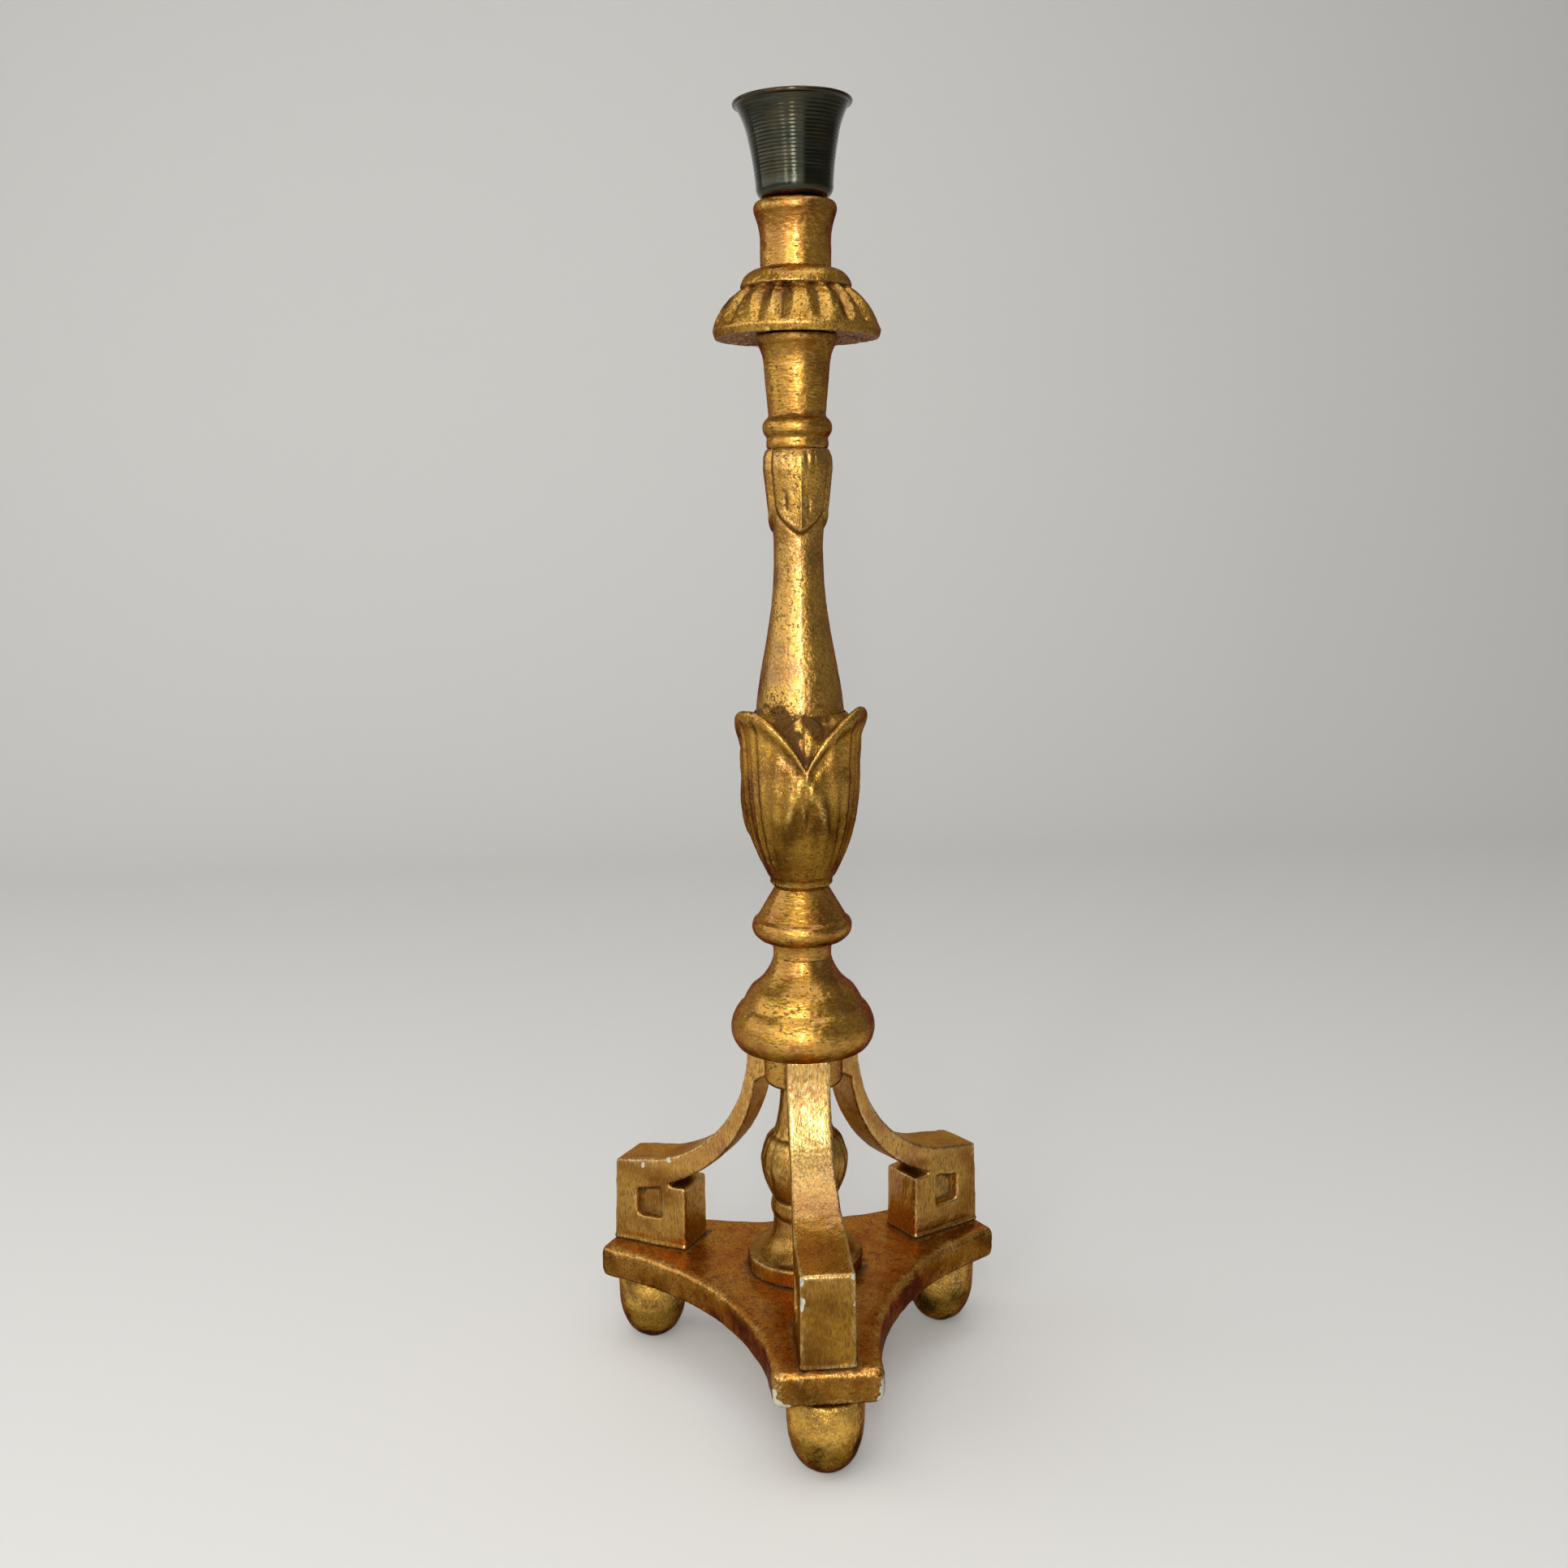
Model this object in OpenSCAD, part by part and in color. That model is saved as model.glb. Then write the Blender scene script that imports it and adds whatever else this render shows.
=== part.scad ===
// Giltwood candle stand: a turned and carved shaft on a three-legged base.
// The front leg points along -Y and the stand rests on z = 0.

/* [Whole stand] */
// Height of the stand, with the cup in its socket; the leaf shaft takes up a change
stand_h = 750; // [700:1:820]

/* [Feet] */
// Height of the feet below the plinth
foot_h = 47; // [30:1:70]
// Largest radius of a foot
foot_r = 21.8; // [16:0.1:26]
// Radius of the flat worn on the underside of a foot
foot_flat_r = 7; // [4:0.5:10]
// Height at which a foot is widest
foot_belly_z = 35; // [24:1:40]
// Fullness of the egg below its widest place
foot_full = 0.82; // [0.6:0.01:1]
// Radius of a foot where it meets the plinth
foot_neck_r = 20.6; // [14:0.1:21.6]
// Distance of a foot's middle from the plinth's cut corner
foot_in = 20.5; // [18:0.5:32]
// Radius of a foot's tenon
foot_tenon_r = 8; // [5:0.5:11]
// Length of a foot's tenon
foot_tenon_l = 10; // [6:0.5:14]

/* [Plinth] */
// Thickness of the plinth
plinth_t = 21.8; // [17:0.1:30]
// Distance of a cut corner from the middle
plinth_r = 129.5; // [126:0.5:145]
// Width of a cut corner
corner_w = 59; // [46:1:70]
// Distance of the hollow sides from the middle
plinth_waist_r = 65; // [58:1:85]

/* [Centre baluster] */
// Height of the baluster from the plinth to the hub
baluster_h = 117.8; // [110:0.1:140]
// Radius of its round foot
disc_r = 35.4; // [28:0.1:40]
// Height of its round foot
disc_h = 10.8; // [6:0.1:16]
// Radius of the shoulder on top of the round foot
shoulder_r = 31; // [24:0.5:34]
// Radius of the throat below the ring
throat_r = 19.4; // [15:0.1:20]
// Height of the throat above the plinth
throat_z = 33; // [28:0.5:36]
// Width of the ring
ring_w = 11; // [6:0.5:14]
// How far the ring stands out
ring_out = 1.4; // [0.6:0.1:3]
// Depth of the grooves beside the ring
groove_d = 0.7; // [0.3:0.1:1.2]
// Radius of the bulb
bulb_r = 26.6; // [22:0.1:30]
// Height of the bulb's widest place above the plinth
bulb_z = 70.2; // [62:0.1:76]
// Height of the bulb's upper edge above the plinth
bulb_top_z = 84.8; // [80:0.1:92]
// Radius of the bulb's upper edge
bulb_top_r = 21; // [17:0.1:23]
// Radius of the slim neck under the hub
slim_r = 13.8; // [11:0.1:16]
// Radius of the baluster's tenon in the hub
hub_tenon_r = 7; // [5:0.5:9]
// Length of the baluster's tenon in the hub
hub_tenon_l = 11; // [6:0.5:12]

/* [Hub] */
// Radius of the drum
hub_r = 23.9; // [21:0.1:28]
// Height of the drum
hub_h = 23.4; // [20:0.1:30]
// Radius of its rounded lower edge
hub_edge_r = 4; // [2:0.5:6]
// Radius of the tenon that holds the bell
bell_tenon_r = 9; // [6:0.5:12]
// Length of the tenon that holds the bell
bell_tenon_l = 14; // [8:0.5:20]

/* [Legs] */
// Thickness of the leg's board at its foot block
leg_w = 30.8; // [24:0.2:36]
// Thickness of the leg's board at the hub
leg_top_w = 25.8; // [20:0.2:30]
// Distance at which the taper in the board's thickness starts
taper_in_r = 50; // [40:1:60]
// Distance at which it ends
taper_out_r = 90; // [80:1:100]
// Thickness of the strap at the hub
strap_t = 8.6; // [6:0.1:11]
// How far the strap's lower end stands out from the hub
heel_out = 3.2; // [1:0.1:5]
// Depth of the hollow upper curve of the strap
sweep_d = 17.2; // [15:0.1:19]
// Height of the straight part where the strap meets the bell
sweep_drop = 5; // [2:0.5:9]
// Depth of the lower curve of the strap
belly_d = 15.3; // [13:0.1:17]
// Distance where the upper curve runs into the flat top
flat_in_r = 94; // [92:0.5:100]
// Height of that place above the plinth
flat_in_h = 57.6; // [54:0.1:62]
// Distance of the leg's outer top corner from the plinth's cut corner
leg_in = 5; // [2.5:0.5:9]
// How far the outer face leans out at its foot
leg_batter = 2.2; // [0:0.1:5]
// Height of the outer corner above the plinth
leg_corner_h = 53; // [48:0.2:58]
// Distance of the key block's inner face
block_in_r = 75.9; // [70:0.1:84]
// Distance where the slot between the strap and the block ends
slot_r = 92.5; // [88:0.5:98]
// Height of the key block
block_h = 40.5; // [36:0.1:44]
// Distance of the recess's inner edge
recess_in_r = 92.7; // [86:0.1:98]
// Distance of the recess's outer edge
recess_out_r = 110; // [104:0.1:114]
// Height of the recess's floor above the plinth
recess_z = 18.2; // [10:0.2:24]
// Height of the recess's inner top corner above the plinth
recess_top_z = 38.8; // [32:0.2:42]
// Fall of the recess's top edge towards the outer side
recess_fall = 3.4; // [0:0.2:6]
// Depth of the recess
recess_d = 6; // [3:0.5:9]
// Width of the tongue let into the hub
tongue_w = 9; // [6:0.5:12]
// Height of the tongue
tongue_h = 11; // [8:0.5:14]
// Length of the tongue
tongue_l = 8; // [5:0.5:10]
// Distance of the tongue below the bell
tongue_drop = 5; // [3:0.5:8]

/* [Bell] */
// Height of the bell
bell_h = 55.5; // [50:0.5:64]
// Largest radius of the bell
bell_r = 43.3; // [40:0.1:48]
// Height of the largest radius above the hub
bell_belly_z = 11.7; // [9:0.1:15]
// Radius of the bell's underside
bell_under_r = 38.2; // [36:0.1:42]
// Radius at the carved step
step_r = 37.4; // [34:0.1:40]
// Height of the carved step above the hub
step_z = 26; // [22:0.2:30]
// Width of the carved step
step_in = 0.9; // [0.4:0.1:2]
// Radius where the bell's cone runs into its cove
cove_r = 29.5; // [26:0.1:33]
// Height where the cone runs into the cove
cove_z = 37.3; // [33:0.1:41]

/* [Knop] */
// Height of the knop with its necks
knop_h = 42.5; // [38:0.5:50]
// Radius of the neck between the bell and the knop
neck_r = 17.45; // [14:0.1:19]
// Largest radius of the disc
knop_r = 29.8; // [26:0.1:34]
// Height of the disc's lower edge above the bell
knop_low_z = 12; // [9:0.1:14]
// Height of the disc's step above the bell
knop_step_z = 23; // [20:0.1:26]
// Radius of the disc's lower edge
knop_low_r = 26.5; // [23:0.1:28]
// Radius at the disc's step
knop_step_r = 28.4; // [25:0.1:29.5]
// Width of the disc's step
knop_step_in = 1.1; // [0.4:0.1:2]

/* [Calyx] */
// Radius of the neck under the calyx
calyx_neck_r = 16; // [14:0.1:18]
// Radius of the calyx above its bowl
calyx_r = 35.9; // [33:0.1:40]
// Height of the bowl
bowl_h = 74; // [64:0.5:84]
// Fullness of the bowl
bowl_k = 2.35; // [1.8:0.05:3]
// Height of the leaf tips
tip_h = 106; // [98:0.5:116]
// How far the tips curl out
tip_out = 4.6; // [2:0.1:7]
// Height of the notches between the leaves
notch_h = 72; // [62:0.5:80]
// Thickness of a leaf at its edge
leaf_t = 3.6; // [2.4:0.1:4.6]
// Height of the small leaves in the notches
small_tip_h = 104; // [96:0.5:110]
// How far a small leaf stands behind the leaves in front of it
small_back = 4.6; // [3:0.1:6]
// Width of a small leaf to each side, in degrees
small_half = 26; // [18:1:30]
// Height of the calyx's inner floor
calyx_floor_h = 93; // [86:0.5:96]
// Distance of the hollow inside the leaves below their tips
shelf_drop = 5.5; // [3:0.5:10]
// Radius of that hollow
shelf_r = 31.2; // [29:0.1:33]
// Rise of the rim round the shaft above the hollow
shelf_rise = 3.5; // [1:0.1:5]
// Depth of the furrows beside a leaf's midrib
furrow_d = 0.9; // [0.3:0.1:1.4]

/* [Leaf shaft] */
// Radius of its waist
waist_r = 14.2; // [12:0.1:16]
// Distance of its waist below its top
waist_drop = 53; // [46:1:60]
// Radius of its foot in the calyx
shaft_foot_r = 26.2; // [23:0.1:28]
// Radius of the leaf capsule
capsule_r = 19.4; // [17:0.1:21]
// Distance of the capsule's widest place below the top
capsule_drop = 11.5; // [9:0.5:18]
// Radius at the top of the capsule
capsule_top_r = 17.3; // [15:0.1:18.5]
// Distance of the hanging leaves' tips below the top
hang_drop = 48; // [42:0.5:52]
// Length of a hanging leaf's pointed end
hang_point_l = 26; // [18:1:32]
// How far the hanging leaves stand out
hang_out = 1.3; // [0.6:0.1:2]
// Half width of a hanging leaf, in degrees
hang_half = 57; // [48:1:59]

/* [Upper stem] */
// Height of the upper stem
stem_h = 58.5; // [52:0.5:68]
// Radius of the fillet at its foot
fillet_r = 17.4; // [15:0.1:19]
// Height of the fillet
fillet_h = 5.2; // [3:0.1:7]
// How far the fillet is rounded out
fillet_out = 0.5; // [0.2:0.1:1]
// Height of the groove between the fillet and the ring
fillet_gap = 1; // [0.5:0.1:2]
// Height of the ring above it
torus_h = 11.4; // [8:0.1:14]
// How far the ring stands out
torus_out = 3.1; // [2:0.1:4.5]
// Radius above the ring
stem_low_r = 16.3; // [14:0.1:18]
// Radius where the stem starts to flare
stem_mid_r = 18.6; // [16:0.1:20]
// Height where the stem starts to flare
stem_mid_z = 44; // [38:0.5:48]
// Radius at the top of the stem
stem_top_r = 22.6; // [20:0.1:26]

/* [Drip pan] */
// Height of the drip pan with its collar
pan_h = 39.3; // [34:0.1:46]
// Largest radius of the pan
pan_r = 47.4; // [42:0.1:54]
// Height of the largest radius
pan_belly_z = 6; // [4:0.1:9]
// Radius of the flat underside
pan_under_r = 43.6; // [38:0.1:46]
// Height of the collar's lower edge
collar_z = 28.6; // [25:0.1:32]
// Radius of the collar's lower edge
collar_r = 31.4; // [28:0.1:34]
// Radius of the collar's top
collar_top_r = 20.6; // [18:0.1:23]
// Number of lobes
lobes = 16; // [8:1:24]
// Depth of the grooves between the lobes
lobe_d = 2.6; // [1:0.1:3.4]
// Turn of the first groove from the front, in degrees
lobe_turn = 10; // [0:0.5:22]

/* [Neck socket] */
// Height of the neck socket
socket_h = 36.4; // [32:0.2:44]
// Radius of the neck
socket_r = 19.8; // [17:0.1:20.5]
// Radius where the flare starts
flare_r = 20.4; // [18:0.1:21]
// Radius of the flared lip
lip_r = 23.2; // [21:0.1:26]
// Height where the flare starts
flare_z = 22.5; // [18:0.5:26]
// Height of the rounded lip
lip_h = 6; // [4:0.1:8]
// How far the lip and the flare are rounded
lip_round = 1; // [0.4:0.1:1.6]
// Radius of the rounded top edge
socket_top_r = 21; // [20:0.1:23]

/* [Cup] */
// Height of the cup
cup_h = 53.5; // [46:0.5:62]
// Radius of the cup's rim
cup_r = 33.3; // [29:0.1:38]
// Radius of the flat base
cup_base_r = 17; // [13:0.1:19]
// Radius of the wall above the base
cup_wall_r = 21.6; // [20:0.1:24]
// Height of the rounded corner at the base
cup_corner_h = 7.6; // [5:0.1:10]
// Radius where the wall starts to flare
cup_mid_r = 25; // [23:0.1:28]
// Height where the wall starts to flare
cup_mid_z = 32; // [26:0.5:36]
// Thickness of the sheet metal
cup_t = 1.2; // [0.8:0.1:2]
// Radius of the rolled rim
roll_r = 1.3; // [0.9:0.1:1.8]
// Radius of the spigot under the cup
spigot_r = 7; // [5:0.1:9]
// Length of the spigot
spigot_l = 18; // [12:0.5:20]
// Thickness of the spigot's tube
spigot_t = 1.5; // [1:0.1:2.5]

/* [Dowels and screw] */
// Radius of the shaft dowels
dowel_r = 6; // [4:0.5:8]
// Depth of a shaft dowel in each piece
dowel_in = 15; // [10:0.5:18]
// Depth of the pan dowel in the neck socket
pan_dowel_in = 12; // [8:0.5:13]
// Radius of the leg dowels
leg_dowel_r = 4; // [3:0.5:5]
// Depth of a leg dowel in the leg
leg_dowel_up = 16; // [10:0.5:20]
// Depth of a leg dowel in the plinth
leg_dowel_down = 8; // [5:0.5:9]
// Distance of the leg dowels from the block's faces
leg_dowel_in = 9; // [7:0.5:14]
// Radius of the screw's shank
screw_r = 2.5; // [2:0.1:3.5]
// Radius of the screw's head
screw_head_r = 5; // [4:0.1:7]
// Length of the screw
screw_l = 50; // [35:1:60]
// Width of the slot in the screw's head
screw_slot_w = 1; // [0.6:0.1:1.6]
// Depth of that slot
screw_slot_d = 1.2; // [0.8:0.1:1.6]

/* [Fits] */
// Glue line around tenons, tongues and dowels
glue_gap = 0.1; // [0.05:0.01:0.2]
// Clearance between the spigot and its hole
spigot_gap = 0.3; // [0.2:0.05:0.5]
// Gap under the cup at rest
seat_gap = 0.3; // [0.2:0.05:0.5]
// Extra depth at the blind end of a hole
end_gap = 0.5; // [0.2:0.1:1]

/* [Hidden] */

$fn = 96;
full_turn = 360;
// A cut runs this far past the face that it opens
over = 1;
// Number of legs, leaves and feet round the stand
arms = 3;
arm_turn = full_turn / arms;
// Points on a moulding's arc and on a long curve
bow_n = 6;
sweep_n = 14;
// Columns of a carved piece to each leaf or lobe, and its rows
leaf_cols = 24;
lobe_cols = 6;
carve_rows = 12;

// Steepness of the curls: leaf tips, calyx rim, small leaves, shaft's foot and capsule
curl_k = 1.35;
rim_k = 0.8;
small_k = 1.6;
waist_k = 1.22;
swell_k = 1.3;
// Place and width of the calyx's furrows, and width of a leaf's ridge, in degrees
furrow_at = 8;
furrow_w = 3.5;
ridge_w = 5;
// Height of the ridge as a share of a hanging leaf's relief
ridge = 0.35;

// The leaf shaft fills the height that the other pieces leave
rest_h = foot_h + plinth_t + baluster_h + hub_h + bell_h + knop_h + calyx_floor_h
  + stem_h + pan_h + socket_h + seat_gap + cup_h;
shaft_h = stand_h - rest_h;
waist_z = shaft_h - waist_drop;
capsule_z = shaft_h - capsule_drop;
hang_tip_z = shaft_h - hang_drop;

// Distances of the feet and of the legs' outer faces from the middle
foot_place_r = plinth_r - foot_in;
leg_out_r = plinth_r - leg_in;

// Heights of the joints between the pieces
plinth_z = foot_h;
base_z = plinth_z + plinth_t;
hub_z = base_z + baluster_h;
bell_z = hub_z + hub_h;
knop_z = bell_z + bell_h;
calyx_z = knop_z + knop_h;
shaft_z = calyx_z + calyx_floor_h;
stem_z = shaft_z + shaft_h;
pan_z = stem_z + stem_h;
socket_z = pan_z + pan_h;
cup_z = socket_z + socket_h + seat_gap;

gilt = "#b58a35";
dark_gilt = "#8a5f24";
metal = "#3a3c34";
brass = "#a8843c";
raw_wood = "#b98d5a";
iron = "#4a4642";

// Points on the arc from p to q that stands s out to the right of the way from p to q
function bow(p, q, s, n = bow_n) =
  let (
    d = q - p,
    c = norm(d),
    r = (c * c / 4 + s * s) / (2 * s),
    side = [d[1], -d[0]] / c,
    m = (p + q) / 2 + side * (s - r),
    a = atan2(p[1] - m[1], p[0] - m[0]),
    b = atan2(q[1] - m[1], q[0] - m[0]),
    t = b - a - full_turn * round((b - a) / full_turn)
  )
  [for (i = [0:n]) m + abs(r) * [cos(a + t * i / n), sin(a + t * i / n)]];

// Points on a circle about c between two angles
function arc(c, r, a, b, n = sweep_n) =
  [for (i = [0:n]) c + r * [cos(a + (b - a) * i / n), sin(a + (b - a) * i / n)]];

// Lower half of an egg of radius r and height h, from the radius of its flat; k is its fullness
function egg(r, h, k, flat) =
  let (a = asin(pow(flat / r, 1 / k)))
  [
    for (i = [1:2 * bow_n - 1])
      let (b = a + (90 - a) * i / (2 * bow_n))
      [r * pow(sin(b), k), h * (1 - pow(cos(b), k))]
  ];

// Angle from the nearest of the equal parts of a turn
function off(th, part) =
  let (m = th - part * floor(th / part))
  min(m, part - m);

// Moves the children to the place of each arm, or of one arm
module at_arm(i) {
  rotate([0, 0, i * arm_turn]) children();
}

// Turned piece from an outline of radius and height, closed on its axis
module turned(z, pts) {
  translate([0, 0, z])
    rotate_extrude()
      polygon(concat([[0, pts[0][1]]], pts, [[0, pts[len(pts) - 1][1]]]));
}

// Closed skin over a grid of rings, with flat ends
module skin(rings) {
  n = len(rings[0]);
  m = len(rings);
  polyhedron(
    points = [for (g = rings) each g],
    faces = concat(
      [[for (i = [0:n - 1]) i]],
      [
        for (j = [0:m - 2], i = [0:n - 1])
          let (a = j * n + i, b = j * n + (i + 1) % n)
          each [[a, a + n, b], [b, a + n, b + n]]
      ],
      [[for (i = [n - 1:-1:0]) (m - 1) * n + i]]
    )
  );
}

// Ring of points whose radius and height are given for each column
function ring(cols, rz) =
  [
    for (c = [0:cols - 1])
      let (th = full_turn * c / cols - 90)
      [rz[c][0] * cos(th), rz[c][0] * sin(th), rz[c][1]]
  ];

module dowel_hole(r, z0, z1) {
  translate([0, 0, z0])
    cylinder(r = r + glue_gap, h = z1 - z0);
}

module foot(i) {
  color(gilt)
    at_arm(i)
      translate([0, -foot_place_r, 0]) {
        turned(0, concat(
          [[foot_flat_r, 0]],
          egg(foot_r, foot_belly_z, foot_full, foot_flat_r),
          bow([foot_r, foot_belly_z], [foot_neck_r, foot_h], (foot_r - foot_neck_r) / 3)
        ));
        translate([0, 0, foot_h - over])
          cylinder(r = foot_tenon_r, h = foot_tenon_l + over);
      }
}

module plinth_outline() {
  half = corner_w / 2;
  // Height of the hollow side's arc over the line between two corners
  rise = (plinth_r + half * tan(arm_turn / 2)) * cos(arm_turn / 2) - plinth_waist_r;
  polygon([
    for (i = [0:arms - 1])
      let (
        a = i * arm_turn - 90,
        b = a + arm_turn,
        p = plinth_r * [cos(a), sin(a)] + half * [-sin(a), cos(a)],
        q = plinth_r * [cos(b), sin(b)] - half * [-sin(b), cos(b)]
      )
      each bow(p, q, -rise, sweep_n)
  ]);
}

module plinth() {
  color(dark_gilt)
    difference() {
      translate([0, 0, plinth_z])
        linear_extrude(plinth_t)
          plinth_outline();
      for (i = [0:arms - 1])
        at_arm(i) {
          translate([0, -foot_place_r, plinth_z - over])
            cylinder(r = foot_tenon_r + glue_gap, h = foot_tenon_l + end_gap + over);
          leg_dowel_places()
            cylinder(r = leg_dowel_r + glue_gap, h = leg_dowel_down + end_gap + over);
        }
      screw_hole();
    }
}

// Places of one leg's dowel holes in the plinth, at the bottom of each hole
module leg_dowel_places() {
  for (r = [block_in_r + leg_dowel_in, leg_out_r - leg_dowel_in])
    translate([0, -r, base_z - leg_dowel_down - end_gap])
      children();
}

module leg_dowels() {
  color(raw_wood)
    for (i = [0:arms - 1])
      at_arm(i)
        leg_dowel_places()
          translate([0, 0, end_gap])
            cylinder(r = leg_dowel_r, h = leg_dowel_down + leg_dowel_up);
}

module screw_hole() {
  translate([0, 0, plinth_z - over])
    cylinder(r = screw_r + glue_gap, h = screw_l + end_gap + over);
  translate([0, 0, plinth_z - over])
    cylinder(
      r1 = screw_head_r + over + 2 * glue_gap,
      r2 = screw_r,
      h = screw_head_r - screw_r + over + 2 * glue_gap
    );
}

module base_screw() {
  color(iron)
    difference() {
      union() {
        translate([0, 0, plinth_z])
          cylinder(r = screw_r, h = screw_l);
        translate([0, 0, plinth_z])
          cylinder(r1 = screw_head_r, r2 = screw_r, h = screw_head_r - screw_r);
      }
      // Slot for the driver
      translate([-screw_head_r - over, -screw_slot_w / 2, plinth_z - over])
        cube([2 * (screw_head_r + over), screw_slot_w, over + screw_slot_d]);
    }
}

module centre_baluster() {
  ring_z = throat_z + groove_d;
  bulb_low_z = ring_z + ring_w + groove_d;
  color(gilt)
    difference() {
      union() {
        turned(base_z, concat(
          [[disc_r, 0], [disc_r, disc_h - groove_d]],
          [[disc_r - groove_d, disc_h]],
          [[shoulder_r, disc_h]],
          bow([shoulder_r, disc_h + groove_d], [throat_r, throat_z], -(shoulder_r - throat_r) / 3),
          [[throat_r - groove_d, throat_z + groove_d / 2]],
          bow([throat_r, ring_z], [throat_r, ring_z + ring_w], ring_out),
          [[throat_r - groove_d, bulb_low_z - groove_d / 2]],
          bow([throat_r, bulb_low_z], [bulb_r, bulb_z], (bulb_r - throat_r) / 5),
          bow([bulb_r, bulb_z], [bulb_top_r, bulb_top_z], (bulb_r - bulb_top_r) / 5),
          bow([bulb_top_r - 3 * groove_d, bulb_top_z + groove_d], [slim_r, baluster_h], -groove_d * 2)
        ));
        translate([0, 0, hub_z - over])
          cylinder(r = hub_tenon_r, h = hub_tenon_l + over);
      }
      screw_hole();
    }
}

module leg_hub() {
  color(gilt)
    difference() {
      union() {
        turned(hub_z, concat(
          arc([hub_r - hub_edge_r, hub_edge_r], hub_edge_r, -90, 0, bow_n),
          [[hub_r, hub_h]]
        ));
        translate([0, 0, bell_z - over])
          cylinder(r = bell_tenon_r, h = bell_tenon_l + over);
      }
      translate([0, 0, hub_z - over])
        cylinder(r = hub_tenon_r + glue_gap, h = hub_tenon_l + end_gap + over);
      for (i = [0:arms - 1])
        at_arm(i)
          tongue(glue_gap, end_gap, over);
    }
}

// Tongue of a leg, or its slot in the hub with a gap round it
module tongue(gap, back, front) {
  translate([
    -tongue_w / 2 - gap,
    -hub_r - front,
    bell_z - tongue_drop - tongue_h - gap
  ])
    cube([tongue_w + 2 * gap, tongue_l + back + front, tongue_h + 2 * gap]);
}

// Side view of a leg, with its distance from the middle and its height
module leg_side() {
  // The strap's end reaches in to where the round hub is as wide as the strap
  end_r = sqrt(hub_r * hub_r - leg_top_w * leg_top_w / 4) - over;
  polygon(concat(
    [[end_r, bell_z], [end_r, hub_z + hub_edge_r]],
    bow([hub_r + heel_out, hub_z], [slot_r, base_z + block_h], belly_d, sweep_n),
    [
      [block_in_r, base_z + block_h],
      [block_in_r, base_z],
      [leg_out_r + leg_batter, base_z],
      [leg_out_r, base_z + leg_corner_h]
    ],
    bow(
      [flat_in_r, base_z + flat_in_h],
      [hub_r + strap_t, bell_z - sweep_drop],
      -sweep_d,
      sweep_n
    ),
    [[hub_r + strap_t, bell_z]]
  ));
}

// View of a leg from above: slim at the hub, full at the foot block
module leg_plan() {
  reach = leg_out_r + leg_batter + over;
  polygon([
    [-leg_top_w / 2, 0],
    [-leg_top_w / 2, -taper_in_r],
    [-leg_w / 2, -taper_out_r],
    [-leg_w / 2, -reach],
    [leg_w / 2, -reach],
    [leg_w / 2, -taper_out_r],
    [leg_top_w / 2, -taper_in_r],
    [leg_top_w / 2, 0]
  ]);
}

module leg(i) {
  color(gilt)
    at_arm(i)
      difference() {
        union() {
          intersection() {
            rotate([90, 0, -90])
              translate([0, 0, -leg_w])
                linear_extrude(2 * leg_w)
                  leg_side();
            translate([0, 0, base_z])
              linear_extrude(bell_z - base_z)
                leg_plan();
          }
          tongue(0, 0, strap_t / 2);
        }
        difference() {
          translate([0, 0, hub_z])
            cylinder(r = hub_r + glue_gap, h = hub_h + over);
          tongue(0, 0, strap_t / 2);
        }
        for (side = [-1, 1])
          translate([side * leg_w / 2, 0, base_z])
            rotate([90, 0, -90])
              translate([0, 0, -recess_d])
                linear_extrude(2 * recess_d)
                  polygon([
                    [recess_in_r, recess_z],
                    [recess_out_r, recess_z],
                    [recess_out_r, recess_top_z - recess_fall],
                    [recess_in_r, recess_top_z]
                  ]);
        leg_dowel_places()
          cylinder(
            r = leg_dowel_r + glue_gap,
            h = leg_dowel_down + leg_dowel_up + 2 * end_gap
          );
      }
}

module bell() {
  color(gilt)
    difference() {
      turned(bell_z, concat(
        bow([bell_under_r, 0], [bell_r, bell_belly_z], (bell_r - bell_under_r) / 4),
        bow([bell_r, bell_belly_z], [step_r, step_z], (bell_r - step_r) / 4),
        [[step_r - step_in, step_z]],
        bow([cove_r, cove_z], [neck_r, bell_h - over], -(cove_r - neck_r) / 7),
        [[neck_r, bell_h]]
      ));
      translate([0, 0, bell_z - over])
        cylinder(r = bell_tenon_r + glue_gap, h = bell_tenon_l + end_gap + over);
      dowel_hole(dowel_r, knop_z - dowel_in - end_gap, knop_z + over);
    }
}

module knop_disc() {
  color(gilt)
    difference() {
      turned(knop_z, concat(
        bow([neck_r, 0], [neck_r + knop_step_in, knop_low_z - knop_step_in], -knop_step_in / 2),
        [[knop_low_r - knop_step_in, knop_low_z - knop_step_in]],
        bow([knop_low_r, knop_low_z], [knop_step_r, knop_step_z], knop_r - knop_step_r + knop_step_in),
        [[knop_step_r - knop_step_in, knop_step_z + knop_step_in / 2]],
        [[calyx_neck_r, knop_h]]
      ));
      dowel_hole(dowel_r, knop_z - over, calyx_z + over);
    }
}

// Radius of the calyx at a height: the bowl below, the curl of the tips above
function calyx_out(h) =
  calyx_neck_r + (calyx_r - calyx_neck_r) * (1 - pow(1 - min(h / bowl_h, 1), bowl_k))
  + tip_out * pow(max(h - bowl_h, 0) / (tip_h - bowl_h), curl_k);

// Height of the leaf edge, by the angle from a notch
function edge_h(a) = notch_h + (tip_h - notch_h) * pow(sin(a * 180 / arm_turn), rim_k);

// Height of a small leaf's edge, by the angle from its notch
function small_h(a) = small_tip_h - (small_tip_h - notch_h) / 2 * pow(a / small_half, small_k);

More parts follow.
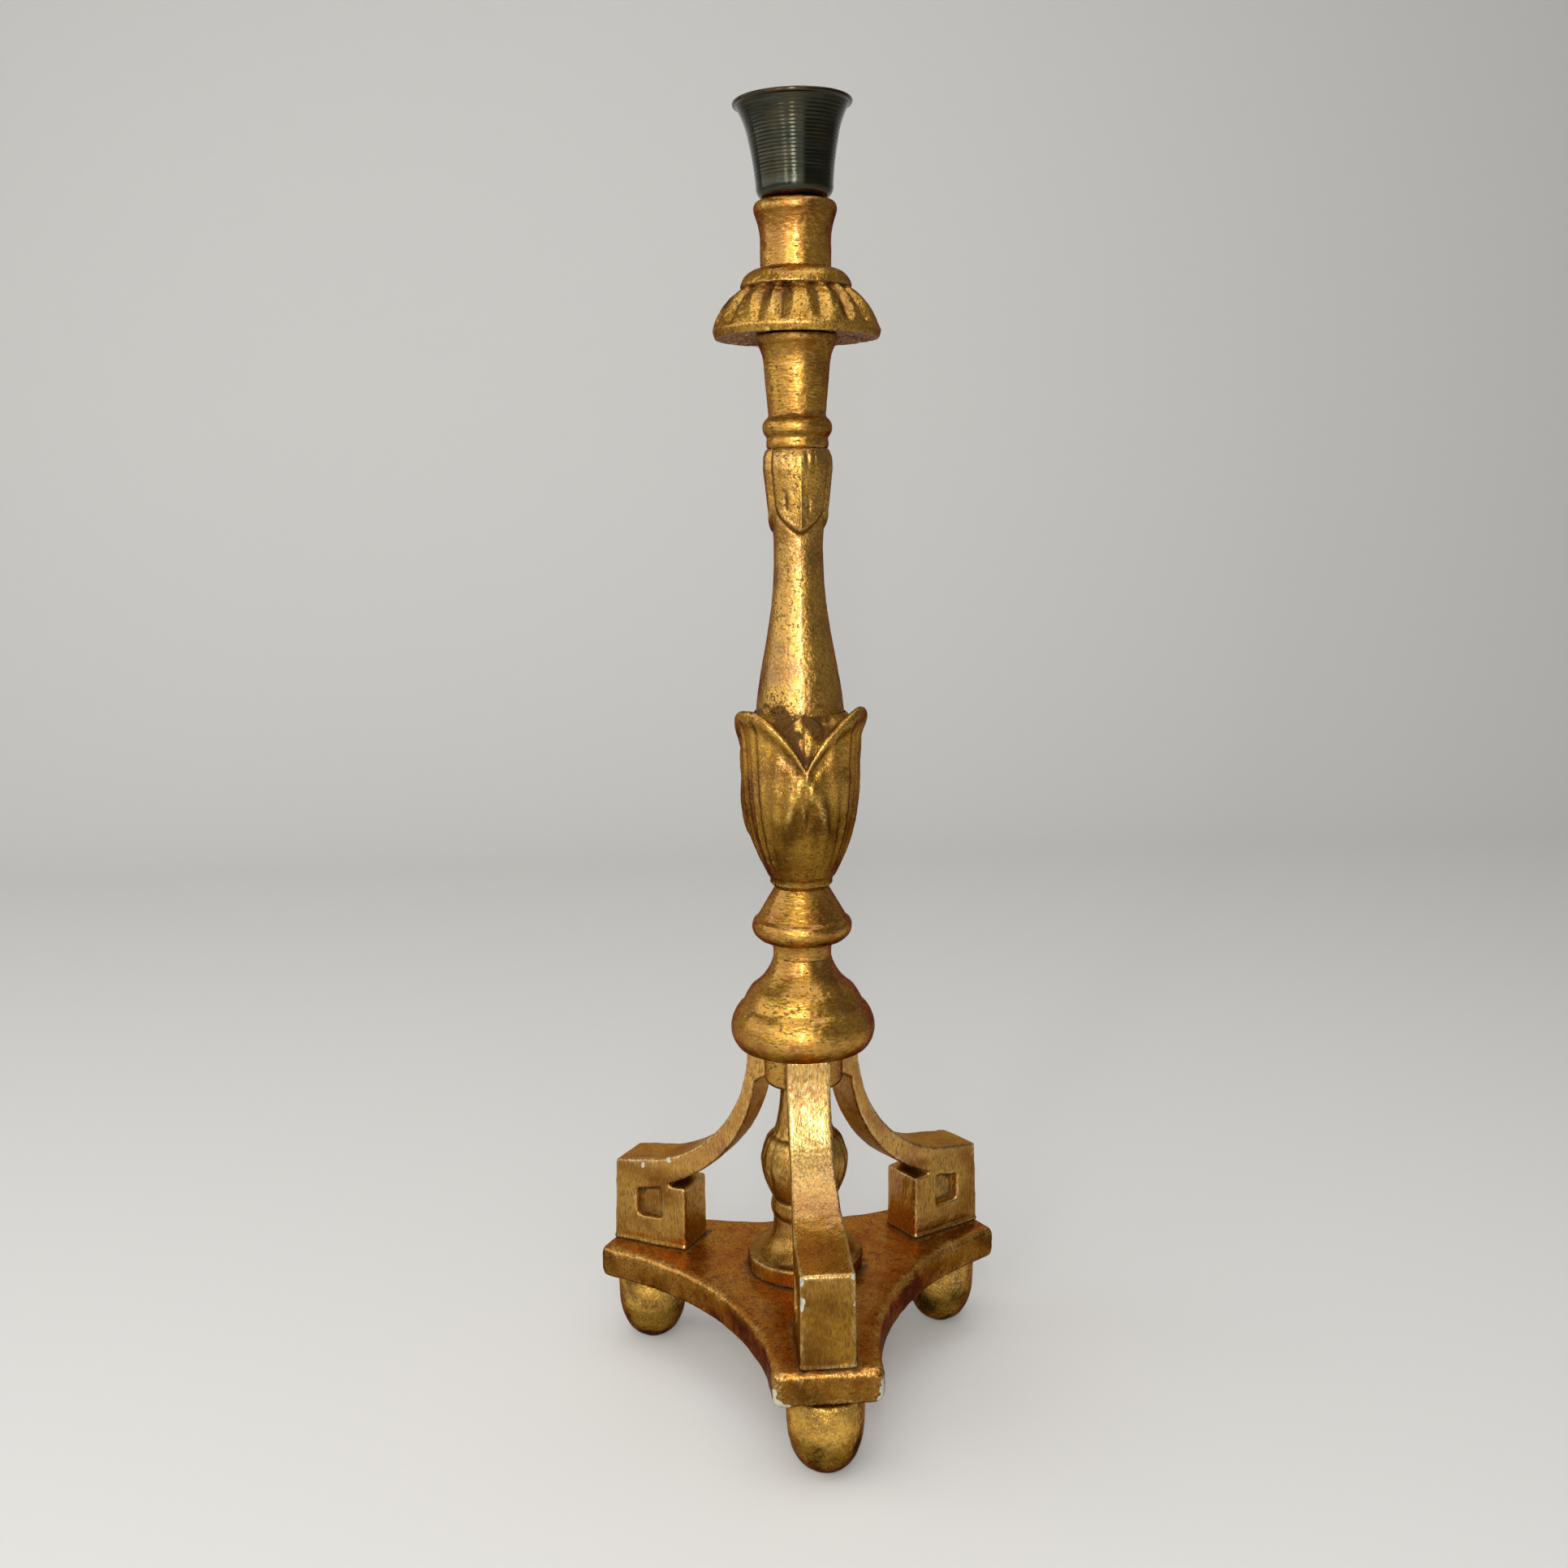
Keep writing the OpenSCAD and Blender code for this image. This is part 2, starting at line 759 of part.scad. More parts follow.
// Furrows beside the midrib of a leaf, by the angle from its notch
function furrow(a, h) =
  let (m = arm_turn / 2 - a)
  furrow_d * exp(-pow((m - furrow_at) / furrow_w, 2)) * min(1, h / notch_h);

// One column of the calyx: radius and height at each row
function calyx_column(a) =
  let (
    e = edge_h(a),
    r = calyx_out(e),
    back = max(0, 1 - a / small_half),
    s = max(small_h(a), e - leaf_t / 2),
    r_in = r - leaf_t,
    small_in = calyx_out(notch_h) - small_back - leaf_t / 2,
    shelf_h = tip_h - shelf_drop
  )
  concat(
    [for (j = [0:carve_rows]) let (h = e * pow(j / carve_rows, 0.9)) [calyx_out(h) - furrow(a, h), h]],
    [[r - leaf_t / 2, e + leaf_t / 4 * (1 - back)]],
    [
      [r - leaf_t, e - leaf_t / 4],
      back > 0 ? [calyx_out(notch_h) - small_back, s] : [r_in - leaf_t / 8, e - leaf_t / 2],
      back > 0 ? [small_in, s] : [r_in - leaf_t / 4, e - leaf_t],
      [min(shelf_r, (back > 0 ? small_in : r_in) - leaf_t / 8), min(shelf_h, s)],
      [shaft_foot_r + leaf_t / 8, shelf_h + shelf_rise],
      [shaft_foot_r + leaf_t / 8, calyx_floor_h]
    ]
  );

module leaf_calyx() {
  cols = arms * leaf_cols;
  columns = [for (c = [0:cols - 1]) calyx_column(off(full_turn * c / cols, arm_turn))];
  color(dark_gilt)
    difference() {
      translate([0, 0, calyx_z])
        skin([for (j = [0:len(columns[0]) - 1]) ring(cols, [for (c = columns) c[j]])]);
      dowel_hole(dowel_r, calyx_z - over, calyx_z + dowel_in + end_gap);
      dowel_hole(dowel_r, shaft_z - dowel_in - end_gap, shaft_z + over);
    }
}

// Radius of the shaft's core at a height
function shaft_out(h) =
  h < waist_z
    ? waist_r + (shaft_foot_r - waist_r) * (1 - cos(180 * pow((waist_z - h) / waist_z, waist_k))) / 2
    : h < capsule_z
      ? waist_r + (capsule_r - hang_out - waist_r) * pow((h - waist_z) / (capsule_z - waist_z), swell_k)
      : capsule_top_r + (capsule_r - hang_out - capsule_top_r)
        * cos(90 * (h - capsule_z) / (shaft_h - capsule_z));

// How far a hanging leaf stands out of the core, by the angle from its midrib
function hang_leaf(a, h) =
  let (
    point = max(0, 1 - max(0, h - hang_tip_z) / hang_point_l),
    half = h < hang_tip_z ? 0 : hang_half * sqrt(1 - point * point),
    edge = half <= 0 ? 0 : min(1, max(0, half - a) / ridge_w),
    end = min(1, (shaft_h - h) / (shaft_h - capsule_z))
  )
  hang_out * edge * pow(max(end, 0), swell_k - 1) * (1 + ridge * exp(-pow(a / ridge_w, 2)));

module leaf_shaft() {
  cols = arms * leaf_cols;
  heights = concat(
    [for (j = [0:carve_rows - 1]) (waist_z - over) * j / carve_rows],
    [for (j = [0:carve_rows]) hang_tip_z + (capsule_z - hang_tip_z) * j / carve_rows],
    [for (j = [1:bow_n]) capsule_z + (shaft_h - capsule_z) * sin(90 * j / bow_n)]
  );
  color(gilt)
    difference() {
      translate([0, 0, shaft_z])
        skin([
          for (h = heights)
            ring(cols, [
              for (c = [0:cols - 1])
                [shaft_out(h) + hang_leaf(off(full_turn * c / cols, arm_turn), h), h]
            ])
        ]);
      dowel_hole(dowel_r, shaft_z - over, shaft_z + dowel_in + end_gap);
      dowel_hole(dowel_r, stem_z - dowel_in - end_gap, stem_z + over);
    }
}

module upper_stem() {
  torus_z = fillet_h + fillet_gap;
  color(gilt)
    difference() {
      turned(stem_z, concat(
        bow([fillet_r, 0], [fillet_r, fillet_h], fillet_out),
        bow([fillet_r, torus_z], [stem_low_r, torus_z + torus_h], torus_out),
        bow([stem_mid_r, stem_mid_z], [stem_top_r, stem_h], -(stem_top_r - stem_mid_r) / 4)
      ));
      dowel_hole(dowel_r, stem_z - over, stem_z + dowel_in + end_gap);
      dowel_hole(dowel_r, pan_z - dowel_in - end_gap, pan_z + over);
    }
}

// Outline of the pan's petals: flat underside, full edge, hollow rise to the collar
function pan_petals() = concat(
  bow([pan_under_r, 0], [pan_r, pan_belly_z], (pan_r - pan_under_r) / 4),
  bow([pan_r, pan_belly_z], [collar_r, collar_z], (pan_r - collar_r) / 6, carve_rows)
);

module drip_pan() {
  cols = lobes * lobe_cols;
  petals = pan_petals();
  top = petals[len(petals) - 1];
  collar = concat(
    [[collar_r - over, collar_z + over / 2]],
    bow([collar_r, collar_z + over], [collar_top_r, pan_h], (collar_r - collar_top_r) / 4)
  );
  color(gilt)
    difference() {
      translate([0, 0, pan_z])
        rotate([0, 0, lobe_turn])
          skin(concat(
            [
              for (p = petals)
                ring(cols, [
                  for (c = [0:cols - 1])
                    let (
                      // A lobe is round across and runs out at the collar and the underside
                      across = abs(cos(180 * c / lobe_cols)),
                      along = sin(180 * min(1, max(0, p[1] / collar_z)))
                    )
                    [p[0] - lobe_d * pow(across, 3) * along, p[1]]
                ])
            ],
            [for (p = collar) ring(cols, [for (c = [0:cols - 1]) p])]
          ));
      dowel_hole(dowel_r, pan_z - over, socket_z + over);
    }
}

module neck_socket() {
  color(gilt)
    difference() {
      turned(socket_z, concat(
        [[socket_r, 0]],
        bow([flare_r, flare_z], [lip_r, socket_h - lip_h], -lip_round),
        bow([lip_r, socket_h - lip_h + groove_d], [socket_top_r, socket_h], lip_round)
      ));
      translate([0, 0, socket_z + socket_h - spigot_l - end_gap])
        cylinder(r = spigot_r + spigot_gap, h = spigot_l + end_gap + over);
      dowel_hole(dowel_r, socket_z - over, socket_z + pan_dowel_in + end_gap);
    }
}

module shaft_dowel(z, down, up) {
  color(raw_wood)
    translate([0, 0, z - down])
      cylinder(r = dowel_r, h = down + up);
}

module candle_cup() {
  roll = [cup_r - roll_r, cup_h - roll_r];
  inner_base = [cup_base_r - cup_t / 2, cup_t];
  inner_wall = [cup_wall_r - cup_t, cup_corner_h];
  inner_mid = [cup_mid_r - cup_t, cup_mid_z];
  inner_top = [roll[0] - cup_t, roll[1]];
  flare = (roll[0] - cup_mid_r) / 8;
  color(metal)
    translate([0, 0, cup_z])
      rotate_extrude()
        union() {
          polygon(concat(
            [[0, 0]],
            bow([cup_base_r, 0], [cup_wall_r, cup_corner_h], (cup_wall_r - cup_base_r) / 3),
            bow([cup_wall_r, cup_corner_h], [cup_mid_r, cup_mid_z], -flare / 2),
            bow([cup_mid_r, cup_mid_z], roll, -flare),
            bow(inner_top, inner_mid, flare),
            bow(inner_mid, inner_wall, flare / 2),
            bow(inner_wall, inner_base, -(inner_wall[0] - inner_base[0]) / 3),
            [[0, cup_t]]
          ));
          translate(roll)
            circle(r = roll_r, $fn = 24);
        }
}

module cup_spigot() {
  color(brass)
    translate([0, 0, cup_z - spigot_l])
      difference() {
        cylinder(r = spigot_r, h = spigot_l);
        translate([0, 0, -over])
          cylinder(r = spigot_r - spigot_t, h = spigot_l - spigot_t + over);
      }
}

candle_cup();
cup_spigot();
neck_socket();
drip_pan();
shaft_dowel(pan_z, dowel_in, pan_h + pan_dowel_in);  // pan_dowel
upper_stem();
shaft_dowel(stem_z, dowel_in, dowel_in);  // stem_dowel
leaf_shaft();
shaft_dowel(shaft_z, dowel_in, dowel_in);  // calyx_dowel
leaf_calyx();
knop_disc();
shaft_dowel(knop_z, dowel_in, knop_h + dowel_in);  // knop_dowel
bell();
leg_hub();
centre_baluster();
base_screw();
leg(0);  // leg_front
leg(1);  // leg_right
leg(2);  // leg_left
leg_dowels();
plinth();
foot(0);  // foot_front
foot(1);  // foot_right
foot(2);  // foot_left
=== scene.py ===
import math
from functools import partial
from itertools import product

import bmesh
import bpy
import numpy as np
from mathutils import Euler, Matrix, Vector


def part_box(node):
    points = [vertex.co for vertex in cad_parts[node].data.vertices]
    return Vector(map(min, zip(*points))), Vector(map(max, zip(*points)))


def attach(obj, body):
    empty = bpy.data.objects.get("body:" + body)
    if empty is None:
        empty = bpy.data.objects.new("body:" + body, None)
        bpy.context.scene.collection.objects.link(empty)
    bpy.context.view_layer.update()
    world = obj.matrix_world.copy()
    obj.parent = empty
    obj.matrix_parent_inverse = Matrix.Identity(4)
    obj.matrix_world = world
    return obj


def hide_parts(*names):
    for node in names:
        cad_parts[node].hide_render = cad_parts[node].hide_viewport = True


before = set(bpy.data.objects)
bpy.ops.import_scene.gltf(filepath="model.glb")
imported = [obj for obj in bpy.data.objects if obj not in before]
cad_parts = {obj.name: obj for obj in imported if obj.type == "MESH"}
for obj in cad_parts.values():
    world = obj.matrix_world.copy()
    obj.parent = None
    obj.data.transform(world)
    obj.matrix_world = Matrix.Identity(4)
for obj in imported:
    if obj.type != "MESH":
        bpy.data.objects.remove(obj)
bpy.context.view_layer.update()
print("frame loaded with", len(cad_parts), "nodes")

mm = 0.001
legAngles = {"front": 0, "left": 240, "right": 120}  # degrees round the axis from the front, towards +X


def footOf(node):  # height of a node's underside in mm
    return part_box(node)[0][2] / mm


# Small tools


def hexColour(code):  # sRGB hex to the linear colour that Blender works in
    parts = [int(code[i : i + 2], 16) / 255 for i in (1, 3, 5)]
    return tuple(c / 12.92 if c <= 0.04045 else ((c + 0.055) / 1.055) ** 2.4 for c in parts) + (1.0,)


def feed(node, inputs):  # sets or links a node's inputs, given by name or in their order
    for name, value in inputs.items() if isinstance(inputs, dict) else enumerate(inputs):
        if isinstance(value, bpy.types.NodeSocket):
            node.id_data.links.new(value, node.inputs[name])
        else:
            node.inputs[name].default_value = value


def addNode(tree, kind, inputs=(), out=0, **settings):  # a kind that doesn't say Node is a shader node
    node = tree.nodes.new(kind if "Node" in kind else "ShaderNode" + kind)
    for name, value in settings.items():
        setattr(node, name, value)
    feed(node, inputs)
    return node.outputs if out is None else node.outputs[out]


def bow(start, end, out, steps=12):  # arc between two points, standing out to the right of the way
    start, end = np.array(start, float), np.array(end, float)
    way = end - start
    length = np.linalg.norm(way)
    radius = (length**2 / 4 + out**2) / (2 * out)
    side = np.array([way[1], -way[0]]) / length
    middle = (start + end) / 2 + side * (out - radius)
    first = math.atan2(*(start - middle)[::-1])
    turn = math.atan2(*(end - middle)[::-1]) - first
    turn -= 2 * math.pi * round(turn / (2 * math.pi))
    angles = first + turn * np.arange(steps + 1) / steps
    return [tuple(middle + abs(radius) * np.array([math.cos(a), math.sin(a)])) for a in angles]


def drawn(start, *steps):  # an outline of straight steps (r, z) and bowed steps (r, z, how far out)
    points = [start]
    for r, z, *out in steps:
        points += bow(points[-1], (r, z), *out)[1:] if out else [(r, z)]
    return points


def soften(points, step=0.4, rounding=0.8):  # even steps along an outline, its corners rounded as by gesso
    points = np.array(points, float)
    gaps = np.linalg.norm(np.diff(points, axis=0), axis=1)
    along = np.concatenate([[0], np.cumsum(gaps)])
    even = np.linspace(0, along[-1], max(3, int(along[-1] / step) + 1))
    points = np.column_stack([np.interp(even, along, points[:, i]) for i in (0, 1)])
    for turn in range(int(2 * (rounding / step) ** 2)):
        points[1:-1] = (points[:-2] + 2 * points[1:-1] + points[2:]) / 4
    return points


def lumps(points, size, seed):  # smooth random field from -1 to 1 with lumps of one size
    cell = points / size + seed * 17.3
    base = np.floor(cell)
    part = cell - base
    part = part * part * (3 - 2 * part)
    total = np.zeros(len(points))
    for corner in product((0, 1), repeat=3):
        spot = base + corner
        value = np.sin(spot @ np.array([12.9898, 78.233, 37.719])) * 43758.5453
        weight = np.prod(np.where(corner, part, 1 - part), axis=1)
        total += weight * (value - np.floor(value))
    return total * 2 - 1


def ramp(value, low, high):  # 0 at low, 1 at high, smooth between
    part = np.clip((value - low) / (high - low), 0, 1)
    return part * part * (3 - 2 * part)


def hill(value, width):
    return np.exp(-((value / width) ** 2))


def pointsOf(mesh):
    flat = np.empty(len(mesh.vertices) * 3)
    mesh.vertices.foreach_get("co", flat)
    return flat.reshape(-1, 3) / mm


def movePoints(mesh, points):
    mesh.vertices.foreach_set("co", (points * mm).ravel())
    mesh.update()


def normalsOf(mesh):
    flat = np.empty(len(mesh.vertices) * 3)
    mesh.vertex_normals.foreach_get("vector", flat)
    return flat.reshape(-1, 3)


def roundAxis(points):  # angle from the front in degrees, and distance from the axis
    return np.degrees(np.arctan2(points[:, 0], -points[:, 1])), np.hypot(points[:, 0], points[:, 1])


def fromPart(angle, part):  # angle from the nearest of the equal parts of a turn
    rest = np.mod(angle, part)
    return np.minimum(rest, part - rest)


def faceOut(mesh):  # closes seams and poles, and turns all faces outwards
    work = bmesh.new()
    work.from_mesh(mesh)
    bmesh.ops.remove_doubles(work, verts=work.verts, dist=0.001 * mm)
    bmesh.ops.recalc_face_normals(work, faces=work.faces)
    work.to_mesh(mesh)
    work.free()
    mesh.shade_smooth()


def finished(piece):  # the evaluated piece becomes its plain mesh
    graph = bpy.context.evaluated_depsgraph_get()
    mesh = bpy.data.meshes.new_from_object(piece.evaluated_get(graph), depsgraph=graph)
    piece.modifiers.clear()
    piece.data = mesh
    mesh.name = piece.name
    faceOut(mesh)
    return piece


def newPiece(name, points, faces=(), edges=()):
    mesh = bpy.data.meshes.new(name)
    mesh.from_pydata([tuple(c * mm for c in p) for p in points], list(edges), list(faces))
    piece = bpy.data.objects.new(name, mesh)
    bpy.context.collection.objects.link(piece)
    return piece


# Turned work

# What holds for a turned piece that names nothing else
lathe = {"wobble": 0.7, "wobbleSize": 32, "dents": 0.25, "dentSize": 5, "rounding": 0.8}


def turningTree():  # turns the profile in the XZ plane round the Z axis, with a hand turner's wobble
    tree = bpy.data.node_groups.new("turnedOnTheLathe", "GeometryNodeTree")
    tree.interface.new_socket("Geometry", in_out="OUTPUT", socket_type="NodeSocketGeometry")
    for name, kind in (
        ("Profile", "Geometry"), ("Columns", "Int"), ("Rows", "Int"), ("Wobble", "Float"),
        ("Wobble Size", "Float"), ("Dents", "Float"), ("Dent Size", "Float"), ("Seed", "Float"),
        ("Finish", "Material"),
    ):
        tree.interface.new_socket(name, in_out="INPUT", socket_type="NodeSocket" + kind)
    node = partial(addNode, tree)
    given = node("NodeGroupInput", out=None)
    profile = node("GeometryNodeMeshToCurve", (given["Profile"],))
    across = node("Math", (given["Columns"], 1.0), operation="ADD")
    grid = node("GeometryNodeMeshGrid", (1.0, 1.0, across, given["Rows"]), None)
    place = node("SeparateXYZ", (grid["UV Map"],), None)
    sampled = {"Curves": profile, "Factor": place["Y"]}
    spot = node("GeometryNodeSampleCurve", sampled, "Position", mode="FACTOR")
    angle = node("Math", (place["X"], 2 * math.pi, -math.pi / 2), operation="MULTIPLY_ADD")
    turned = node("VectorRotate", {"Vector": spot, "Angle": angle}, rotation_type="Z_AXIS")
    surface = node("GeometryNodeSetPosition", {"Geometry": grid["Mesh"], "Position": turned})
    closed = node("GeometryNodeMergeByDistance", {"Geometry": surface, "Distance": 0.001 * mm})
    here = node("GeometryNodeInputPosition")
    # The wobble moves points only sideways, so the flat ends of a piece stay flat
    coarse = node("Math", (1.0, given["Wobble Size"]), operation="DIVIDE")
    wave = node("TexNoise", {"Vector": here, "W": given["Seed"], "Scale": coarse, "Detail": 2.0},
                noise_dimensions="4D")
    swing = node("Math", (wave, 0.5), operation="SUBTRACT")
    reach = node("Math", (swing, given["Wobble"]), operation="MULTIPLY")
    level = node("VectorMath", (here, (1.0, 1.0, 0.0)), operation="MULTIPLY")
    sideways = node("VectorMath", (level,), operation="NORMALIZE")
    shift = node("VectorMath", {0: sideways, "Scale": reach}, operation="SCALE")
    wobbled = node("GeometryNodeSetPosition", {"Geometry": closed, "Offset": shift})
    # Dents only sink into the surface
    fine = node("Math", (1.0, given["Dent Size"]), operation="DIVIDE")
    pocks = node("TexNoise", {"Vector": here, "W": given["Seed"], "Scale": fine, "Detail": 1.0},
                 noise_dimensions="4D")
    depth = node("MapRange", (pocks, 0.5, 0.75, 0.0, -1.0))
    sink = node("Math", (depth, given["Dents"]), operation="MULTIPLY")
    inward = node("VectorMath", {0: node("GeometryNodeInputNormal"), "Scale": sink}, operation="SCALE")
    dented = node("GeometryNodeSetPosition", {"Geometry": wobbled, "Offset": inward})
    real = node("GeometryNodeRealizeInstances", (dented,))
    coated = node("GeometryNodeSetMaterial", {"Geometry": real, "Material": given["Finish"]})
    node("NodeGroupOutput", (coated,), None)
    return tree


latheTree = turningTree()


def turn(name, node, outline, shape, finish):
    shape = {**lathe, **shape}
    foot = footOf(node)
    points = [(r, 0, foot + z) for r, z in soften(outline, rounding=shape["rounding"])]
    piece = newPiece(name, points, edges=[(i, i + 1) for i in range(len(points) - 1)])
    modifier = piece.modifiers.new("Lathe", "NODES")
    modifier.node_group = latheTree
    values = {
        "Columns": shape["columns"], "Rows": shape["rows"], "Seed": shape["seed"], "Finish": finish,
        "Wobble": shape["wobble"] * mm, "Wobble Size": shape["wobbleSize"] * mm,
        "Dents": shape["dents"] * mm, "Dent Size": shape["dentSize"] * mm,
    }
    for socket in latheTree.interface.items_tree:
        if socket.in_out == "INPUT" and socket.name in values:
            modifier[socket.identifier] = values[socket.name]
    return finished(piece)


def carve(piece, move):  # moves a turned surface outwards by a rule of angle, height and radius
    points = pointsOf(piece.data)
    angle, radius = roundAxis(points)
    shift = move(angle, points[:, 2], radius)
    points[:, :2] *= np.where(radius > 1, (radius + shift) / np.maximum(radius, 1), 1)[:, None]
    movePoints(piece.data, points)
    return piece


# Wear, kept as attributes that the materials read


def evened(values, ends, times):
    share = np.bincount(ends.ravel(), minlength=len(values))[:, None]
    for turn in range(times):
        total = np.zeros_like(values)
        for axis, (one, other) in product(range(3), ((0, 1), (1, 0))):
            total[:, axis] += np.bincount(ends[:, one], values[ends[:, other], axis], len(values))
        values = (values + total / share) / 2
    return values


def wear(piece, dirtBands=(), moreDirtAndShade=None, chips=(), seed=1, glaze=None, worn=None, burnishAndHighlight=None):
    # dirtBands are (height, width, strength) and chips are (x, y, z, size); the rest are rules of the points.
    # The extra dirt rules add painted shade as well as dirt, the glaze rules add painted shade and the
    # burnish rules add painted highlights as well as rubbing
    mesh = piece.data
    points, normals = pointsOf(mesh), normalsOf(mesh)
    ends = np.empty(len(mesh.edges) * 2, int)
    mesh.edges.foreach_get("vertices", ends)
    ends = ends.reshape(-1, 2)
    near = evened(points, ends, 6)
    inNear = np.sum((near - points) * normals, axis=1)
    inFar = np.sum((evened(near, ends, 24) - points) * normals, axis=1)
    mottle = 0.55 + 0.45 * lumps(points, 5, seed)
    wander = lumps(points, 8, seed + 2)
    # Dark in creases and hollows as dirt; the extra dirt rules of some pieces add painted shade to it
    dirt = (ramp(inNear, 0.02, 0.25) * 0.5 + ramp(inFar, 0.05, 0.6) * 0.6) * (0.75 + 0.25 * wander)
    for height, width, strength in dirtBands:
        dirt += strength * mottle * hill(points[:, 2] - height + 0.8 * width * wander, width)
    if moreDirtAndShade:
        dirt += moreDirtAndShade(points) * mottle
    rubAndHighlight = ramp(-inNear, 0.03, 0.16) + 0.6 * ramp(-inFar, 0.12, 0.6)
    rubAndHighlight *= 0.2 + 0.6 * ramp(wander, -0.3, 0.5)
    # The burnish rule adds painted highlights on top of the rubbing
    if burnishAndHighlight:
        rubAndHighlight += burnishAndHighlight(points, normals)
    paintedShade = 0.9 * ramp(-normals[:, 2], 0.0, 0.55)  # painted shade: a brown glaze, thickest on undersides, where shade falls
    if glaze:
        paintedShade += glaze(points, normals)
    chip = worn(points, normals) if worn else np.zeros(len(points))
    for *spot, size in chips:
        away = np.linalg.norm((points - np.array(spot)) / size, axis=1) + 0.35 * lumps(points, 1.8, seed)
        chip = np.maximum(chip, 1 - ramp(away, 0.7, 1.3))
    movePoints(mesh, points - normals * (0.35 * ramp(chip, 0.3, 0.7))[:, None])
    for name, values in (("dirt", dirt), ("rubAndHighlight", rubAndHighlight), ("chip", chip), ("glaze", paintedShade)):
        mesh.attributes.new(name, "FLOAT", "POINT").data.foreach_set("value", np.clip(values, 0, 1))
    return piece


# Materials

smooth = {"interpolation_type": "SMOOTHSTEP"}
mixed = {"out": 2, "data_type": "RGBA"}


def newMaterial(name):
    material = bpy.data.materials.new(name)
    material.use_nodes = True
    node = partial(addNode, material.node_tree)
    return material, node, material.node_tree.nodes["Principled BSDF"], node("TexCoord", out="Object")


gilding = {
    "bright": "#d59f34", "deep": "#9c6112", "olive": "#7e6320", "bole": "#7c360a", "glaze": "#50300a",
    "speck": "#2e1c10", "dirt": "#3a2015", "gesso": "#bdb8a6", "verdigris": "#62857c", "rubbed": "#edcd7c",
    "sheen": "#edcd7c", "edgeTint": "#94662a", "cloud": 26, "mottle": 6, "grain": 1.6, "leaf": 1.5,
    "varnish": 0.7, "orange": 0.25, "specks": 0.8, "roughness": 0.28, "stretch": (1, 1, 1), "wrinkles": 0.6,
    "relief": 0.55,
}


